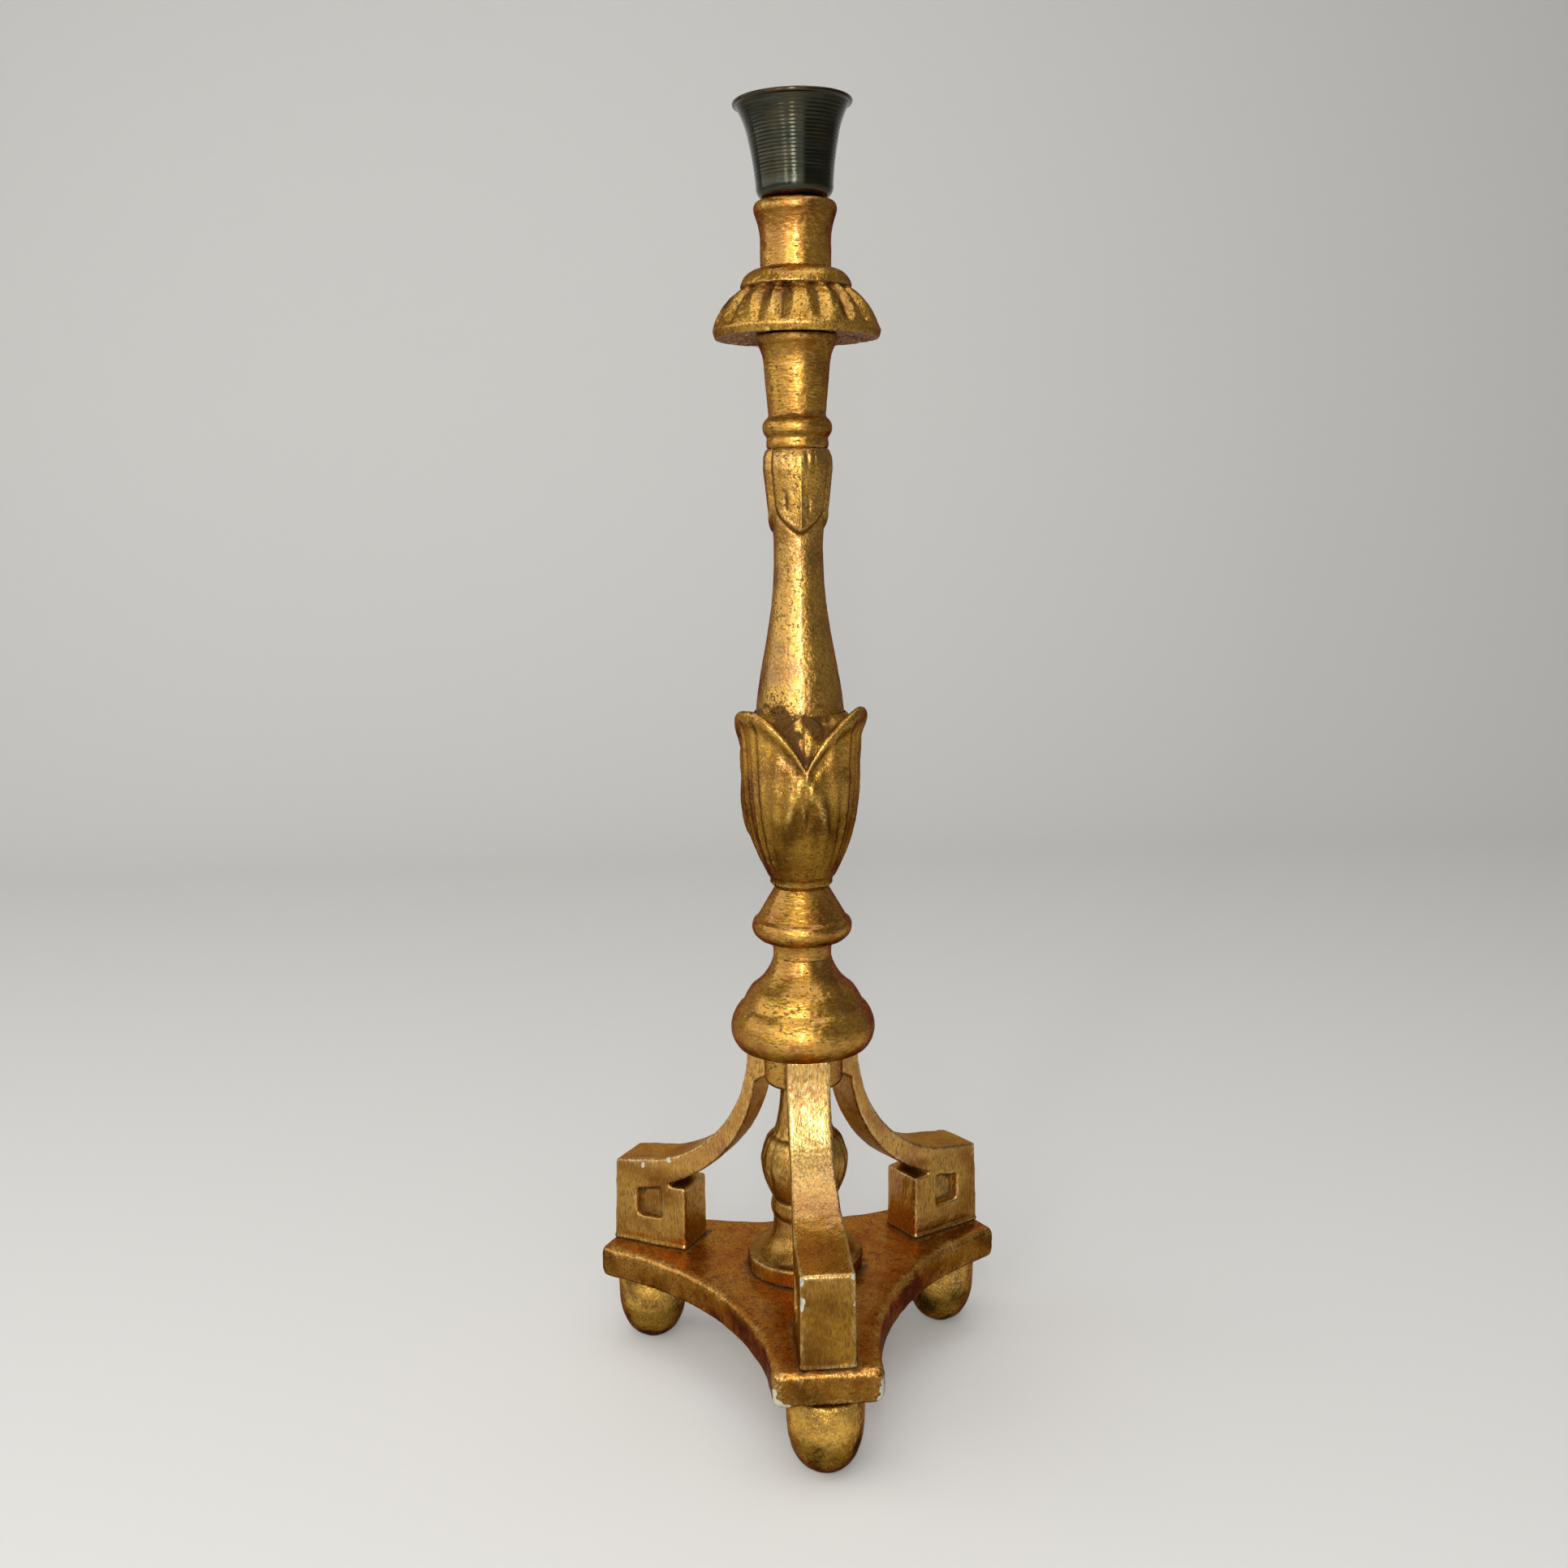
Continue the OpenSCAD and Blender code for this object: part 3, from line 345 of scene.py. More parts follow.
def giltWood(name, **changes):
    # Burnished gold leaf over red bole and gesso: a warm grainy metal, rubbed bright on edges, with painted
    # glints in its grain and painted highlights where a burnish rule is given, brown dirt and painted shade
    # in the hollows, painted shade as a brown glaze on undersides, fine dark specks and white gesso where it
    # has chipped
    look = {**gilding, **changes}
    material, node, shader, place = newMaterial(name)
    stretched = node("Mapping", {"Vector": place, "Scale": look["stretch"]})
    cloud, mottle, grain, fine = [  # patches in mm; the leaf's fine wrinkles are drawn coarse enough to show
        node("TexNoise", {
            "Vector": where, "Scale": 1 / (look[size] * mm), "Detail": detail, "Roughness": ragged})
        for size, where, detail, ragged in (
            ("cloud", place, 3.0, 0.55), ("mottle", place, 4.0, 0.62),
            ("grain", stretched, 3.0, 0.6), ("leaf", stretched, 2.0, 0.6))
    ]
    dirt, rubAndHighlight, chip, glaze = [
        node("Attribute", out="Fac", attribute_name=name) for name in ("dirt", "rubAndHighlight", "chip", "glaze")
    ]
    speckled = node("Math", (cloud, 0.6, grain), operation="MULTIPLY_ADD")
    soiledAndShaded = node("Math", (mottle, 0.8, dirt), operation="MULTIPLY_ADD")
    soiledAndShaded = node("Math", (fine, 0.9, soiledAndShaded), operation="MULTIPLY_ADD")
    broken = node("Math", (fine, 1.1, chip), operation="MULTIPLY_ADD")
    # Each mask is a pattern, its low and high, and the share of the layer at these two.
    # Specks are pits of 0.5 to 1 mm through the leaf, thickest in the mottled patches
    # The sheen mask paints pale glints into the fine grain of the leaf
    clouds, green, warm, sheen, thin, speck, edges, soilAndShade, bare, copper = [
        node("MapRange", mask, **smooth)
        for mask in (
            (cloud, 0.3, 0.7), (mottle, 0.5, 0.8, 0, 0.4), (mottle, 0.52, 0.32, 0, look["orange"]),
            (fine, 0.48, 0.68, 0, 0.3), (cloud, 0.3, 0.6, 1, 0.7), (speckled, 0.9, 0.955, 0, look["specks"]),
            (fine, 0.4, 0.6, 0.055, 0.4125), (soiledAndShaded, 1.15, 1.7), (broken, 1.05, 1.17),
            (mottle, 0.52, 0.62, 0, 0.7))
    ]
    # The glaze layer is painted shade, thinned in cloudy patches
    paintedShade = node("Math", (glaze, thin), operation="MULTIPLY")
    shadeShare = node("Math", (paintedShade, 0.85), operation="MULTIPLY")
    # Edges take the pale rubbed colour, which the burnish rules also use for painted highlights
    edges = node("Math", (rubAndHighlight, edges), operation="MULTIPLY")
    grimeAndShade = node("Math", (soilAndShade, 0.85), operation="MULTIPLY")
    chalk = node("Mix", {0: copper, 6: hexColour(look["gesso"]), 7: hexColour(look["verdigris"])}, **mixed)
    colour = hexColour(look["deep"])
    for share, layer in (
        (clouds, "bright"), (green, "olive"), (warm, "bole"), (sheen, "sheen"), (shadeShare, "glaze"),
        (speck, "speck"), (edges, "rubbed"), (grimeAndShade, "dirt"), (bare, chalk),
    ):
        layer = hexColour(look[layer]) if isinstance(layer, str) else layer
        colour = node("Mix", {0: share, 6: colour, 7: layer}, **mixed)
    covered = node("Math", (node("Math", (soilAndShade, 0.8), operation="MULTIPLY"), bare), operation="MAXIMUM")
    pits = node("Math", (speck, 0.7), operation="MULTIPLY")
    covered = node("Math", (covered, pits), operation="MAXIMUM")
    rough = node("Math", (fine, 0.24, look["roughness"] - 0.12), operation="MULTIPLY_ADD")
    height = node("Math", (fine, look["wrinkles"]), operation="MULTIPLY")
    height = node("Math", (mottle, 0.35, height), operation="MULTIPLY_ADD")
    height = node("Math", (speck, -0.25, height), operation="MULTIPLY_ADD")
    relief = {"Height": height, "Distance": look["relief"] * mm}
    # The painted shade and the dirt take no polish, and the wax is thin, so rims stay dull
    matt = node("Math", (paintedShade, covered), operation="MAXIMUM")
    polish = node("MapRange", (matt, 0.1, 0.8, look["varnish"], 0.05 * look["varnish"]), **smooth)
    facing = node("LayerWeight", {"Blend": 0.5}, "Facing")
    facing = node("MapRange", (facing, 0.25, 0.8, 1, 0.05), **smooth)
    feed(shader, {
        "Base Color": colour, "Specular Tint": hexColour(look["edgeTint"]),
        "Metallic": node("MapRange", (covered, 0, 1, 0.94, 0.05), **smooth),
        "Roughness": node("Math", (covered, 0.35, rough), operation="MULTIPLY_ADD"),
        "Normal": node("Bump", {**relief, "Strength": 1.0}),
        "Coat Weight": node("Math", (polish, facing), operation="MULTIPLY"), "Coat Roughness": 0.17,
        "Coat Normal": node("Bump", {**relief, "Strength": 0.35}),
    })
    return material


def spunMetal(name):
    # Brass sheet spun to shape and bronzed nearly black: a glossy metal with fine rings from the tool,
    # green-grey with a coppery tint where the patina is thin
    material, node, shader, place = newMaterial(name)
    flattened = node("Mapping", {"Vector": place, "Scale": (0.03, 0.03, 1.0)})
    rings = node("TexNoise", {"Vector": flattened, "Scale": 1 / (0.9 * mm), "Detail": 3.0, "Roughness": 0.65})
    cloud = node("TexNoise", {"Vector": place, "Scale": 1 / (14 * mm), "Detail": 3.0, "Roughness": 0.55})
    rubAndHighlight, dirt = [node("Attribute", out="Fac", attribute_name=name) for name in ("rubAndHighlight", "dirt")]
    rubAndHighlight = node("Math", (rubAndHighlight, 0.3), operation="MULTIPLY")
    dirt = node("Math", (dirt, 0.6), operation="MULTIPLY")
    colour = hexColour("#303329")
    for share, layer in (
        (node("MapRange", (cloud, 0.35, 0.65), **smooth), "#3f3b2d"),
        (node("MapRange", (rings, 0.5, 0.7, 0, 0.35), **smooth), "#585c56"),
        (node("Math", (rubAndHighlight, dirt), operation="MAXIMUM"), "#7c4526"),
    ):
        colour = node("Mix", {0: share, 6: colour, 7: hexColour(layer)}, **mixed)
    feed(shader, {
        "Base Color": colour, "Metallic": 0.95,
        "Roughness": node("MapRange", (rings, 0.3, 0.7, 0.1, 0.18), **smooth),
        "Normal": node("Bump", {"Height": rings, "Strength": 0.5, "Distance": 0.25 * mm}),
    })
    return material


def bareWood(name, pale, dark):
    # Beech turned smooth and left bare: straight grain of about 1.5 mm along the dowel
    material, node, shader, place = newMaterial(name)
    along = node("Mapping", {"Vector": place, "Scale": (1.0, 1.0, 0.06)})
    grain = node("TexNoise", {"Vector": along, "Scale": 1 / (1.5 * mm), "Detail": 4.0, "Roughness": 0.55})
    share = node("MapRange", (grain, 0.35, 0.7), **smooth)
    feed(shader, {
        "Base Color": node("Mix", {0: share, 6: hexColour(pale), 7: hexColour(dark)}, **mixed),
        "Roughness": 0.62,
        "Normal": node("Bump", {"Height": grain, "Strength": 0.3, "Distance": 0.1 * mm}),
    })
    return material


def dullMetal(name, pale, dark, roughness):
    # Unpolished metal with a skin of oxide in soft patches of a few millimetres
    material, node, shader, place = newMaterial(name)
    patches = node("TexNoise", {"Vector": place, "Scale": 1 / (4 * mm), "Detail": 4.0, "Roughness": 0.6})
    share = node("MapRange", (patches, 0.35, 0.7), **smooth)
    feed(shader, {
        "Base Color": node("Mix", {0: share, 6: hexColour(pale), 7: hexColour(dark)}, **mixed),
        "Metallic": 1.0,
        "Roughness": node("MapRange", (patches, 0.3, 0.7, roughness, roughness + 0.2), **smooth),
        "Normal": node("Bump", {"Height": patches, "Strength": 0.25, "Distance": 0.1 * mm}),
    })
    return material


turnedGilt = giltWood("giltTurnedWood", stretch=(0.45, 0.45, 1.3), varnish=0.6, specks=0.75)
leafGilt = giltWood("giltCarvedLeaves", deep="#8a5a16", glaze="#42290a", specks=0.6, varnish=0.45)
shaftGilt = giltWood("giltLeafShaft", deep="#94631a", varnish=1.0)
panGilt = giltWood("giltLobedPan", deep="#8e5a14", varnish=0.5, specks=0.7)
strapGilt = giltWood("giltStrapLegs", deep="#a4681a", rubbed="#f6e0a2", edgeTint="#d2ac68",
                     stretch=(1.3, 1.3, 0.4), specks=0.55, wrinkles=0.5, varnish=1.0)
plinthGilt = giltWood("giltPlinth", bright="#d89438", deep="#b0681a", olive="#7c601e", glaze="#38280a",
                      orange=0.5, specks=0.6, varnish=0.3, wrinkles=0.4, roughness=0.3)
footGilt = giltWood("giltEggFeet", bright="#e8b244", deep="#7c5012", glaze="#1c0f02", rubbed="#f2cd72",
                    cloud=14, specks=0.35, roughness=0.2, wrinkles=1.1, varnish=0.35)
cupMetal = spunMetal("bronzedSpunBrass")
dowelWood = bareWood("bareBeechDowel", "#c79f6c", "#a87c4b")
dullBrass = dullMetal("dullBrassTube", "#b08d4a", "#7a5c2c", 0.35)
darkIron = dullMetal("oxidisedIronScrew", "#5d5752", "#3c3630", 0.45)
print("materials made")


# Candle cup

cup = {
    "baseR": 17, "wallR": 21.6, "cornerH": 7.6, "midR": 25, "midZ": 32, "rimR": 33.3, "height": 53.5,
    "sheet": 1.2, "rollR": 1.3, "lean": 1.3, "lift": 0.45, "ringDepth": 0.08, "ringStep": 1.9,
    "columns": 180, "rows": 460, "seed": 3.1, "rounding": 0.2, "wobble": 0.3, "wobbleSize": 40,
    "dents": 0.05, "dentSize": 9,
}


def makeCup():
    c, t = cup, cup["sheet"]
    rollR, rollZ = c["rimR"] - c["rollR"], c["height"] - c["rollR"] - c["lift"] - 0.8
    flare, corner = (rollR - c["midR"]) / 8, (c["wallR"] - c["baseR"]) / 3
    outer = drawn((0, 0), (c["baseR"], 0), (c["wallR"], c["cornerH"], corner),
                  (c["midR"], c["midZ"], -flare / 2), (rollR - 0.7, rollZ - c["rollR"], -flare))
    turns = [math.radians(a) for a in range(-70, 231, 15)]
    rim = [(rollR + c["rollR"] * math.cos(a), rollZ + c["rollR"] * math.sin(a)) for a in turns]
    inner = drawn((rollR - t, rollZ - 0.6), (c["midR"] - t, c["midZ"], flare),
                  (c["wallR"] - t, c["cornerH"], flare / 2), (c["baseR"] - t / 2, t, -corner), (0, t))
    piece = turn("spunCup", "candle_cup", outer + rim + inner, cup, cupMetal)
    base = footOf("candle_cup")
    carve(piece, lambda angle, z, radius: c["ringDepth"] * np.sin((z - base) * 2 * math.pi / c["ringStep"])
          * ramp(z - base, 8, 14) * ramp(z - base, 50, 46))
    wear(piece, [(base + 1, 1.4, 0.9)], seed=2)
    # The real cup leans a little to the left in its seat
    lean = Euler((0, math.radians(-c["lean"]), 0)).to_matrix().to_4x4()
    lifted = Matrix.Translation((0, 0, (base + c["lift"]) * mm))
    piece.data.transform(lifted @ lean @ Matrix.Translation((0, 0, -base * mm)))
    return piece


# Turned pieces

dowelHole = {"radius": 6.1, "deep": 15.5}
holeEnd = (dowelHole["radius"], dowelHole["deep"])


def bored(outline, low, high, top):  # adds blind holes (radius, depth) on the axis at the ends of an outline
    start = [(0, low[1]), (low[0], low[1]), (low[0], 0)] if low else [(0, 0)]
    end = [(high[0], top), (high[0], top - high[1]), (0, top - high[1])] if high else [(0, top)]
    return start + outline + end


def lapped(outline, low=True, high=True):  # an end reaches half a mm into the next piece, under the gilding
    (r, z), (topR, topZ) = outline[0], outline[-1]
    start = [(r - 0.4, z - 0.5), (r, z + 0.3)] if low else [(r, z)]
    end = [(topR, topZ - 0.3), (topR - 0.4, topZ + 0.5)] if high else [(topR, topZ)]
    return start + outline[1:-1] + end


neck = {
    "radius": 19.8, "flareZ": 11, "bend": 1.2, "lipR": 23.2, "lipH": 6, "topR": 21, "height": 36.4,
    "dowelDeep": 12.5, "spigotHole": (7.3, 18.5), "columns": 168, "rows": 220, "seed": 5.2, "wobble": 0.6,
    "wobbleSize": 20,
}


def makeNeck():
    n, h = neck, neck["height"]
    outline = drawn(
        (n["radius"], 0), (n["radius"] + 0.1, n["flareZ"]), (n["lipR"], h - n["lipH"], -n["bend"]),
        (n["lipR"], h - n["lipH"] + 0.7), (n["topR"], h, 1))
    outline = bored(lapped(outline, high=False), (dowelHole["radius"], n["dowelDeep"]), n["spigotHole"], h)
    piece = turn("flaredNeck", "neck_socket", outline, neck, turnedGilt)
    foot = footOf("neck_socket")
    return wear(piece, [(foot, 1.6, 0.9), (foot + 5, 1.6, 0.5), (foot + h, 0.8, 0.3)], seed=3)


stem = {
    "filletR": 17.4, "filletH": 5.2, "ringH": 11.4, "ringOut": 3.1, "lowR": 16.3, "midR": 18.6, "midZ": 44,
    "topR": 22.6, "height": 58.5, "upInPan": 3.8, "columns": 168, "rows": 250, "seed": 7.7, "wobble": 0.8,
}


def makeStem():
    s, ringZ, top = stem, stem["filletH"] + 1, stem["height"] + stem["upInPan"]
    outline = drawn(
        (s["filletR"], 0), (s["filletR"], s["filletH"], 0.5), (s["filletR"], ringZ),
        (s["lowR"], ringZ + s["ringH"], s["ringOut"]), (s["midR"], s["midZ"]),
        (s["topR"], s["height"], -(s["topR"] - s["midR"]) / 4), (s["topR"] + 0.6, top))
    highHole = (dowelHole["radius"], dowelHole["deep"] + s["upInPan"])
    outline = bored(lapped(outline, high=False), holeEnd, highHole, top)
    piece = turn("ringedStem", "upper_stem", outline, stem, turnedGilt)
    foot = footOf("upper_stem")
    bands = [(foot, 1.2, 0.8), (foot + 5.6, 0.8, 0.5), (foot + ringZ + s["ringH"] + 1.5, 2.2, 1.1),
             (foot + top, 2.2, 0.9)]
    return wear(piece, bands, seed=4)


knop = {
    "neckR": 17.45, "radius": 29.8, "lowZ": 12, "stepZ": 23, "lowR": 26.5, "stepR": 28.4, "stepIn": 1.7,
    "topR": 16, "height": 42.5, "columns": 180, "rows": 260, "seed": 11.3, "wobble": 0.4, "wobbleSize": 50,
}


def makeKnop():
    k, h, s, hole = knop, knop["height"], knop["stepIn"], dowelHole["radius"]
    outline = drawn(
        (k["neckR"], 0), (k["neckR"] + s, k["lowZ"] - s, -s / 2), (k["lowR"] - s, k["lowZ"] - s),
        (k["lowR"], k["lowZ"]), (k["stepR"], k["stepZ"], k["radius"] - k["stepR"] + s / 2),
        (k["stepR"] - s, k["stepZ"] + s / 2), (k["topR"], h))
    outline = [(hole, 0)] + lapped(outline) + [(hole, h), (hole, 0)]
    piece = turn("discKnop", "knop_disc", outline, knop, turnedGilt)
    foot = footOf("knop_disc")
    return wear(piece, [(foot + 10, 1.5, 0.5), (foot + 24, 0.8, 0.4), (foot + h - 3, 4, 0.6)], seed=5)


bell = {
    "underR": 38.2, "radius": 43.3, "bellyZ": 11.7, "stepR": 37.4, "stepZ": 26, "stepIn": 1.1, "coveR": 29.5,
    "coveZ": 37.3, "neckR": 17.45, "height": 55.5, "tenon": (9.1, 14.5), "columns": 240, "rows": 300,
    "seed": 11.3, "wobble": 0.4, "wobbleSize": 50,
}


def makeBell():
    b, h = bell, bell["height"]
    outline = drawn(
        (b["underR"], 0), (b["radius"], b["bellyZ"], (b["radius"] - b["underR"]) / 4),
        (b["stepR"], b["stepZ"], (b["radius"] - b["stepR"]) / 4),
        (b["stepR"] - b["stepIn"], b["stepZ"] + 0.4),
        (b["coveR"] + 1.2, b["coveZ"] - 0.8, 0.4), (b["coveR"], b["coveZ"]),
        (b["neckR"], h - 1, -(b["coveR"] - b["neckR"]) / 7), (b["neckR"], h))
    outline = bored(lapped(outline, low=False), b["tenon"], holeEnd, h)
    piece = turn("moulding.bell", "bell", outline, bell, turnedGilt)
    foot = footOf("bell")
    return wear(piece, [(foot, 1.5, 0.8), (foot + 27, 1.4, 0.35)], seed=6)


hub = {
    "radius": 23.9, "height": 23.4, "edgeR": 4, "tenonR": 9, "tenonH": 14, "hole": (7.1, 11.5),
    "columns": 150, "rows": 170, "seed": 13.8, "wobble": 0.3,
}


def makeHub():
    r, h, e, top = hub["radius"], hub["height"], hub["edgeR"], hub["height"] + hub["tenonH"]
    outline = drawn((r - e, 0), (r, e, e * (1 - math.cos(math.pi / 4))), (r, h), (hub["tenonR"], h),
                    (hub["tenonR"], top))
    piece = turn("legDrum", "leg_hub", bored(outline, hub["hole"], None, top), hub, turnedGilt)

    def besideLegs(points):
        angle, radius = roundAxis(points)
        return 0.9 * hill(fromPart(angle, 120) - 33, 5) * (radius > 20)

    return wear(piece, [(footOf("leg_hub") + h, 2, 0.7)], besideLegs, seed=7)


baluster = {
    "discR": 35.4, "discH": 10.8, "shoulderR": 31, "throatR": 19.4, "throatZ": 33, "ringW": 11,
    "ringOut": 1.4, "groove": 0.7, "bulbR": 26.6, "bulbZ": 70.2, "bulbTopZ": 84.8, "bulbTopR": 21,
    "slimR": 13.8, "height": 117.8, "tenon": (7, 11), "petalDepth": 0.6, "columns": 190, "rows": 330,
    "seed": 15.5, "wobble": 1.1, "dents": 0.3, "dentSize": 8,
}


def makeBaluster():
    b, g, foot = baluster, baluster["groove"], footOf("centre_baluster")
    ringZ, top = b["throatZ"] + g, b["height"] + b["tenon"][1]
    bulbLow = ringZ + b["ringW"] + g
    outline = drawn(
        (b["discR"], 0), (b["discR"], b["discH"] - g), (b["discR"] - g, b["discH"]),
        (b["shoulderR"], b["discH"] + g), (b["throatR"], b["throatZ"], -(b["shoulderR"] - b["throatR"]) / 3),
        (b["throatR"] - g, b["throatZ"] + g / 2), (b["throatR"], ringZ),
        (b["throatR"], ringZ + b["ringW"], b["ringOut"]), (b["throatR"] - g, bulbLow - g / 2),
        (b["throatR"], bulbLow), (b["bulbR"], b["bulbZ"], (b["bulbR"] - b["throatR"]) / 5),
        (b["bulbTopR"], b["bulbTopZ"], (b["bulbR"] - b["bulbTopR"]) / 5),
        (b["bulbTopR"] - 3 * g, b["bulbTopZ"] + g), (b["slimR"], b["height"], -g * 2),
        (b["tenon"][0], b["height"]), (b["tenon"][0], top))
    piece = turn("innerBaluster", "centre_baluster", bored(outline, None, None, top), baluster, strapGilt)

    def petals(angle, z, radius):
        # Three broad buds with soft seams, a shoulder over them and a lump with a pit beside the front strap
        up = ramp(z - foot, 50, 60) * ramp(z - foot, 98, 84)
        seam = np.mod(angle + 120, 120) - 60
        cuts = 1.2 * hill(seam - 4, 4) + 0.8 * hill(seam + 12, 4) + 0.5 * hill(np.abs(seam) - 38, 5)
        lump = 0.9 * hill(angle + 40, 10) * hill(z - foot - 66, 6)
        lump -= 0.6 * hill(angle + 37, 5) * hill(z - foot - 64, 3)
        shoulder = 0.5 * hill(z - foot - 83, 2.5)
        return up * (0.5 * np.cos(np.radians(seam * 3)) - b["petalDepth"] * cuts) + lump + shoulder

    carve(piece, petals)
    bands = [(foot, 1.6, 0.9), (foot + 11, 1.2, 0.6), (foot + 33.4, 1.2, 0.9), (foot + 45.4, 1.5, 0.9),
             (foot + 50, 4, 0.4)]
    # Painted shade: the baluster darker towards the bottom
    return wear(piece, bands, seed=8,
                glaze=lambda points, normals: 0.65 * ramp(points[:, 2], foot + 105, foot + 70))


egg = {
    "radius": 21.8, "flatR": 7, "bellyZ": 35, "full": 0.82, "neckR": 20.6, "height": 47, "steps": 24,
    "columns": 132, "rows": 130, "wobble": 1.1, "wobbleSize": 26, "dents": 0.35,
}


def makeFoot(name, number):
    e, k = egg, egg["full"]
    first = math.asin((e["flatR"] / e["radius"]) ** (1 / k))
    outline = [(0, 0), (e["flatR"], 0)]
    for a in np.linspace(first, math.pi / 2, e["steps"] + 1)[1:-1]:
        outline.append((e["radius"] * math.sin(a) ** k, e["bellyZ"] * (1 - math.cos(a) ** k)))
    outline += bow((e["radius"], e["bellyZ"]), (e["neckR"], e["height"]), (e["radius"] - e["neckR"]) / 3)
    outline += [(0, e["height"])]
    node = "foot_" + name
    piece = turn("eggFoot." + name, node, outline, {**egg, "seed": 20 + number * 2.3}, footGilt)
    low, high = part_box(node)
    piece.data.transform(Matrix.Translation(((low[0] + high[0]) / 2, (low[1] + high[1]) / 2, 0)))

    # Painted shade: darker on the lower half and at the top under the plinth
    def shadedFootEnds(points, normals):
        return ramp(points[:, 2], 34, 18) + 0.5 * ramp(points[:, 2], 38, 45)

    # Painted highlight: a pale ring round the belly, as rubbing
    def rubbedAndHighlitBelly(points, normals):
        return 0.9 * hill(points[:, 2] - 34, 8) * (0.6 + 0.6 * lumps(points, 9, 3))

    bands = [(e["height"], 2.2, 0.8), (0, 2, 0.5)]
    return wear(piece, bands, seed=10 + number, glaze=shadedFootEnds, burnishAndHighlight=rubbedAndHighlitBelly)


# Drip pan

pan = {
    "height": 39.3, "radius": 47.4, "bellyZ": 6, "edgeR": 46.2, "edgeZ": 1.7, "hollowR": 24, "hollowZ": 4.4,
    "collarZ": 28.6, "collarR": 31.4, "collarTopR": 20.6, "lobes": 16, "turn": 10, "deep": 4.0, "narrow": 4.2,
    "wide": 11.2, "crown": 1.2, "jitter": 3.0, "columns": 352, "rows": 250, "seed": 31.9, "wobble": 0.8,
    "dents": 0.4, "rounding": 0.5,
}


def makePan():
    p, hole, foot, part = pan, dowelHole["radius"], footOf("drip_pan"), 360 / pan["lobes"]
    outline = drawn(
        (hole, p["hollowZ"]), (p["hollowR"], p["hollowZ"]), (p["edgeR"] - 1.2, p["edgeZ"] + 0.1, -0.6),
        (p["edgeR"], p["edgeZ"]), (p["radius"], p["bellyZ"]),
        (p["collarR"], p["collarZ"], (p["radius"] - p["collarR"]) / 6, 20),
        (p["collarR"] - 1, p["collarZ"] + 0.6), (p["collarR"], p["collarZ"] + 1),
        (p["collarTopR"], p["height"], (p["collarR"] - p["collarTopR"]) / 4),
        (hole, p["height"]), (hole, p["hollowZ"]))
    piece = turn("lobedPan", "drip_pan", outline, pan, panGilt)

    def nearest(angle, z):  # the nearest groove's number, the degrees from it and the share of the way up
        number = np.round((angle - p["turn"]) / part)
        away = np.abs(angle - p["turn"] - number * part - p["jitter"] * np.sin(number * 2.4 + 0.6))
        return number, away, (z - foot - p["bellyZ"]) / (p["collarZ"] - p["bellyZ"])

    def lobes(angle, z, radius):
        # Each groove is a wide V under the collar that closes to a point above the edge
        number, away, up = nearest(angle, z)
        level = np.clip(up, 0, 1)
        shown = ramp(up, 0.02, 0.2) * ramp(up, 1.03, 0.96) * (radius > p["collarTopR"] + 4)
        wide = p["narrow"] + (p["wide"] - p["narrow"]) * level**0.8
        deep = p["deep"] * (0.8 + 0.2 * np.sin(number * 4.1)) * (0.45 + 0.55 * level)
        groove = deep * np.clip(1 - (away / wide) ** 1.4, 0, 1) ** 1.3
        crown = p["crown"] * (np.sin(np.radians(180 * np.minimum(away / part, 0.5))) - 1)
        edge = 0.35 * np.sin(np.radians(angle * 5 + 40)) * hill(up + 0.1, 0.2)
        return shown * (crown - groove) + edge

    carve(piece, lobes)

    def hollow(points):
        return ramp(foot + 4.8 - points[:, 2], 0, 0.5)

    # Painted shade along the grooves, with some dirt, and darker in the hollow under the rim
    def dirtAndShadeInGrooves(points):
        angle, radius = roundAxis(points)
        number, away, up = nearest(angle, points[:, 2])
        shade = 0.95 * hill(away, 3 + 3.5 * np.clip(up, 0, 1)) * ramp(up, 0.2, 0.8) * ramp(up, 1.05, 0.98)
        return shade + 0.7 * hollow(points) * ramp(radius, 46.6, 45) * (radius > 10)

    # Less of the painted underside shade under the pan's hollow
    def lessShadeUnderPan(points, normals):
        return -0.5 * hollow(points) * ramp(-normals[:, 2], 0.7, 0.9)

    def bareBelow(points, normals):
        return 0.45 * ramp(-normals[:, 2], 0.7, 0.9)

    bands = [(foot + p["collarZ"] + 0.3, 1.2, 0.8), (foot + p["height"], 1.4, 0.9)]
    return wear(piece, bands, dirtAndShadeInGrooves, seed=12, glaze=lessShadeUnderPan, worn=bareBelow)


# Leaf shaft

shaft = {
    "height": 161, "waistR": 14.2, "waistZ": 108, "footR": 26.2, "capsuleR": 18.1, "capsuleZ": 149.5,
    "topR": 17.3, "tipZ": 113, "pointL": 17, "out": 1.9, "half": 58, "columns": 240, "rows": 330,
    "seed": 41.2, "wobble": 0.45, "wobbleSize": 45,
}


def shaftRadius(h):
    s = shaft
    waist, swell = s["waistR"], s["capsuleR"]
    if h < s["waistZ"]:
        fall = math.cos(math.pi * ((s["waistZ"] - h) / s["waistZ"]) ** 1.22)
        return waist + (s["footR"] - waist) * (1 - fall) / 2
    if h < s["capsuleZ"]:
        return waist + (swell - waist) * ((h - s["waistZ"]) / (s["capsuleZ"] - s["waistZ"])) ** 1.3
    rise = (h - s["capsuleZ"]) / (s["height"] - s["capsuleZ"])
    return s["topR"] + (swell - s["topR"]) * math.cos(math.pi / 2 * rise)


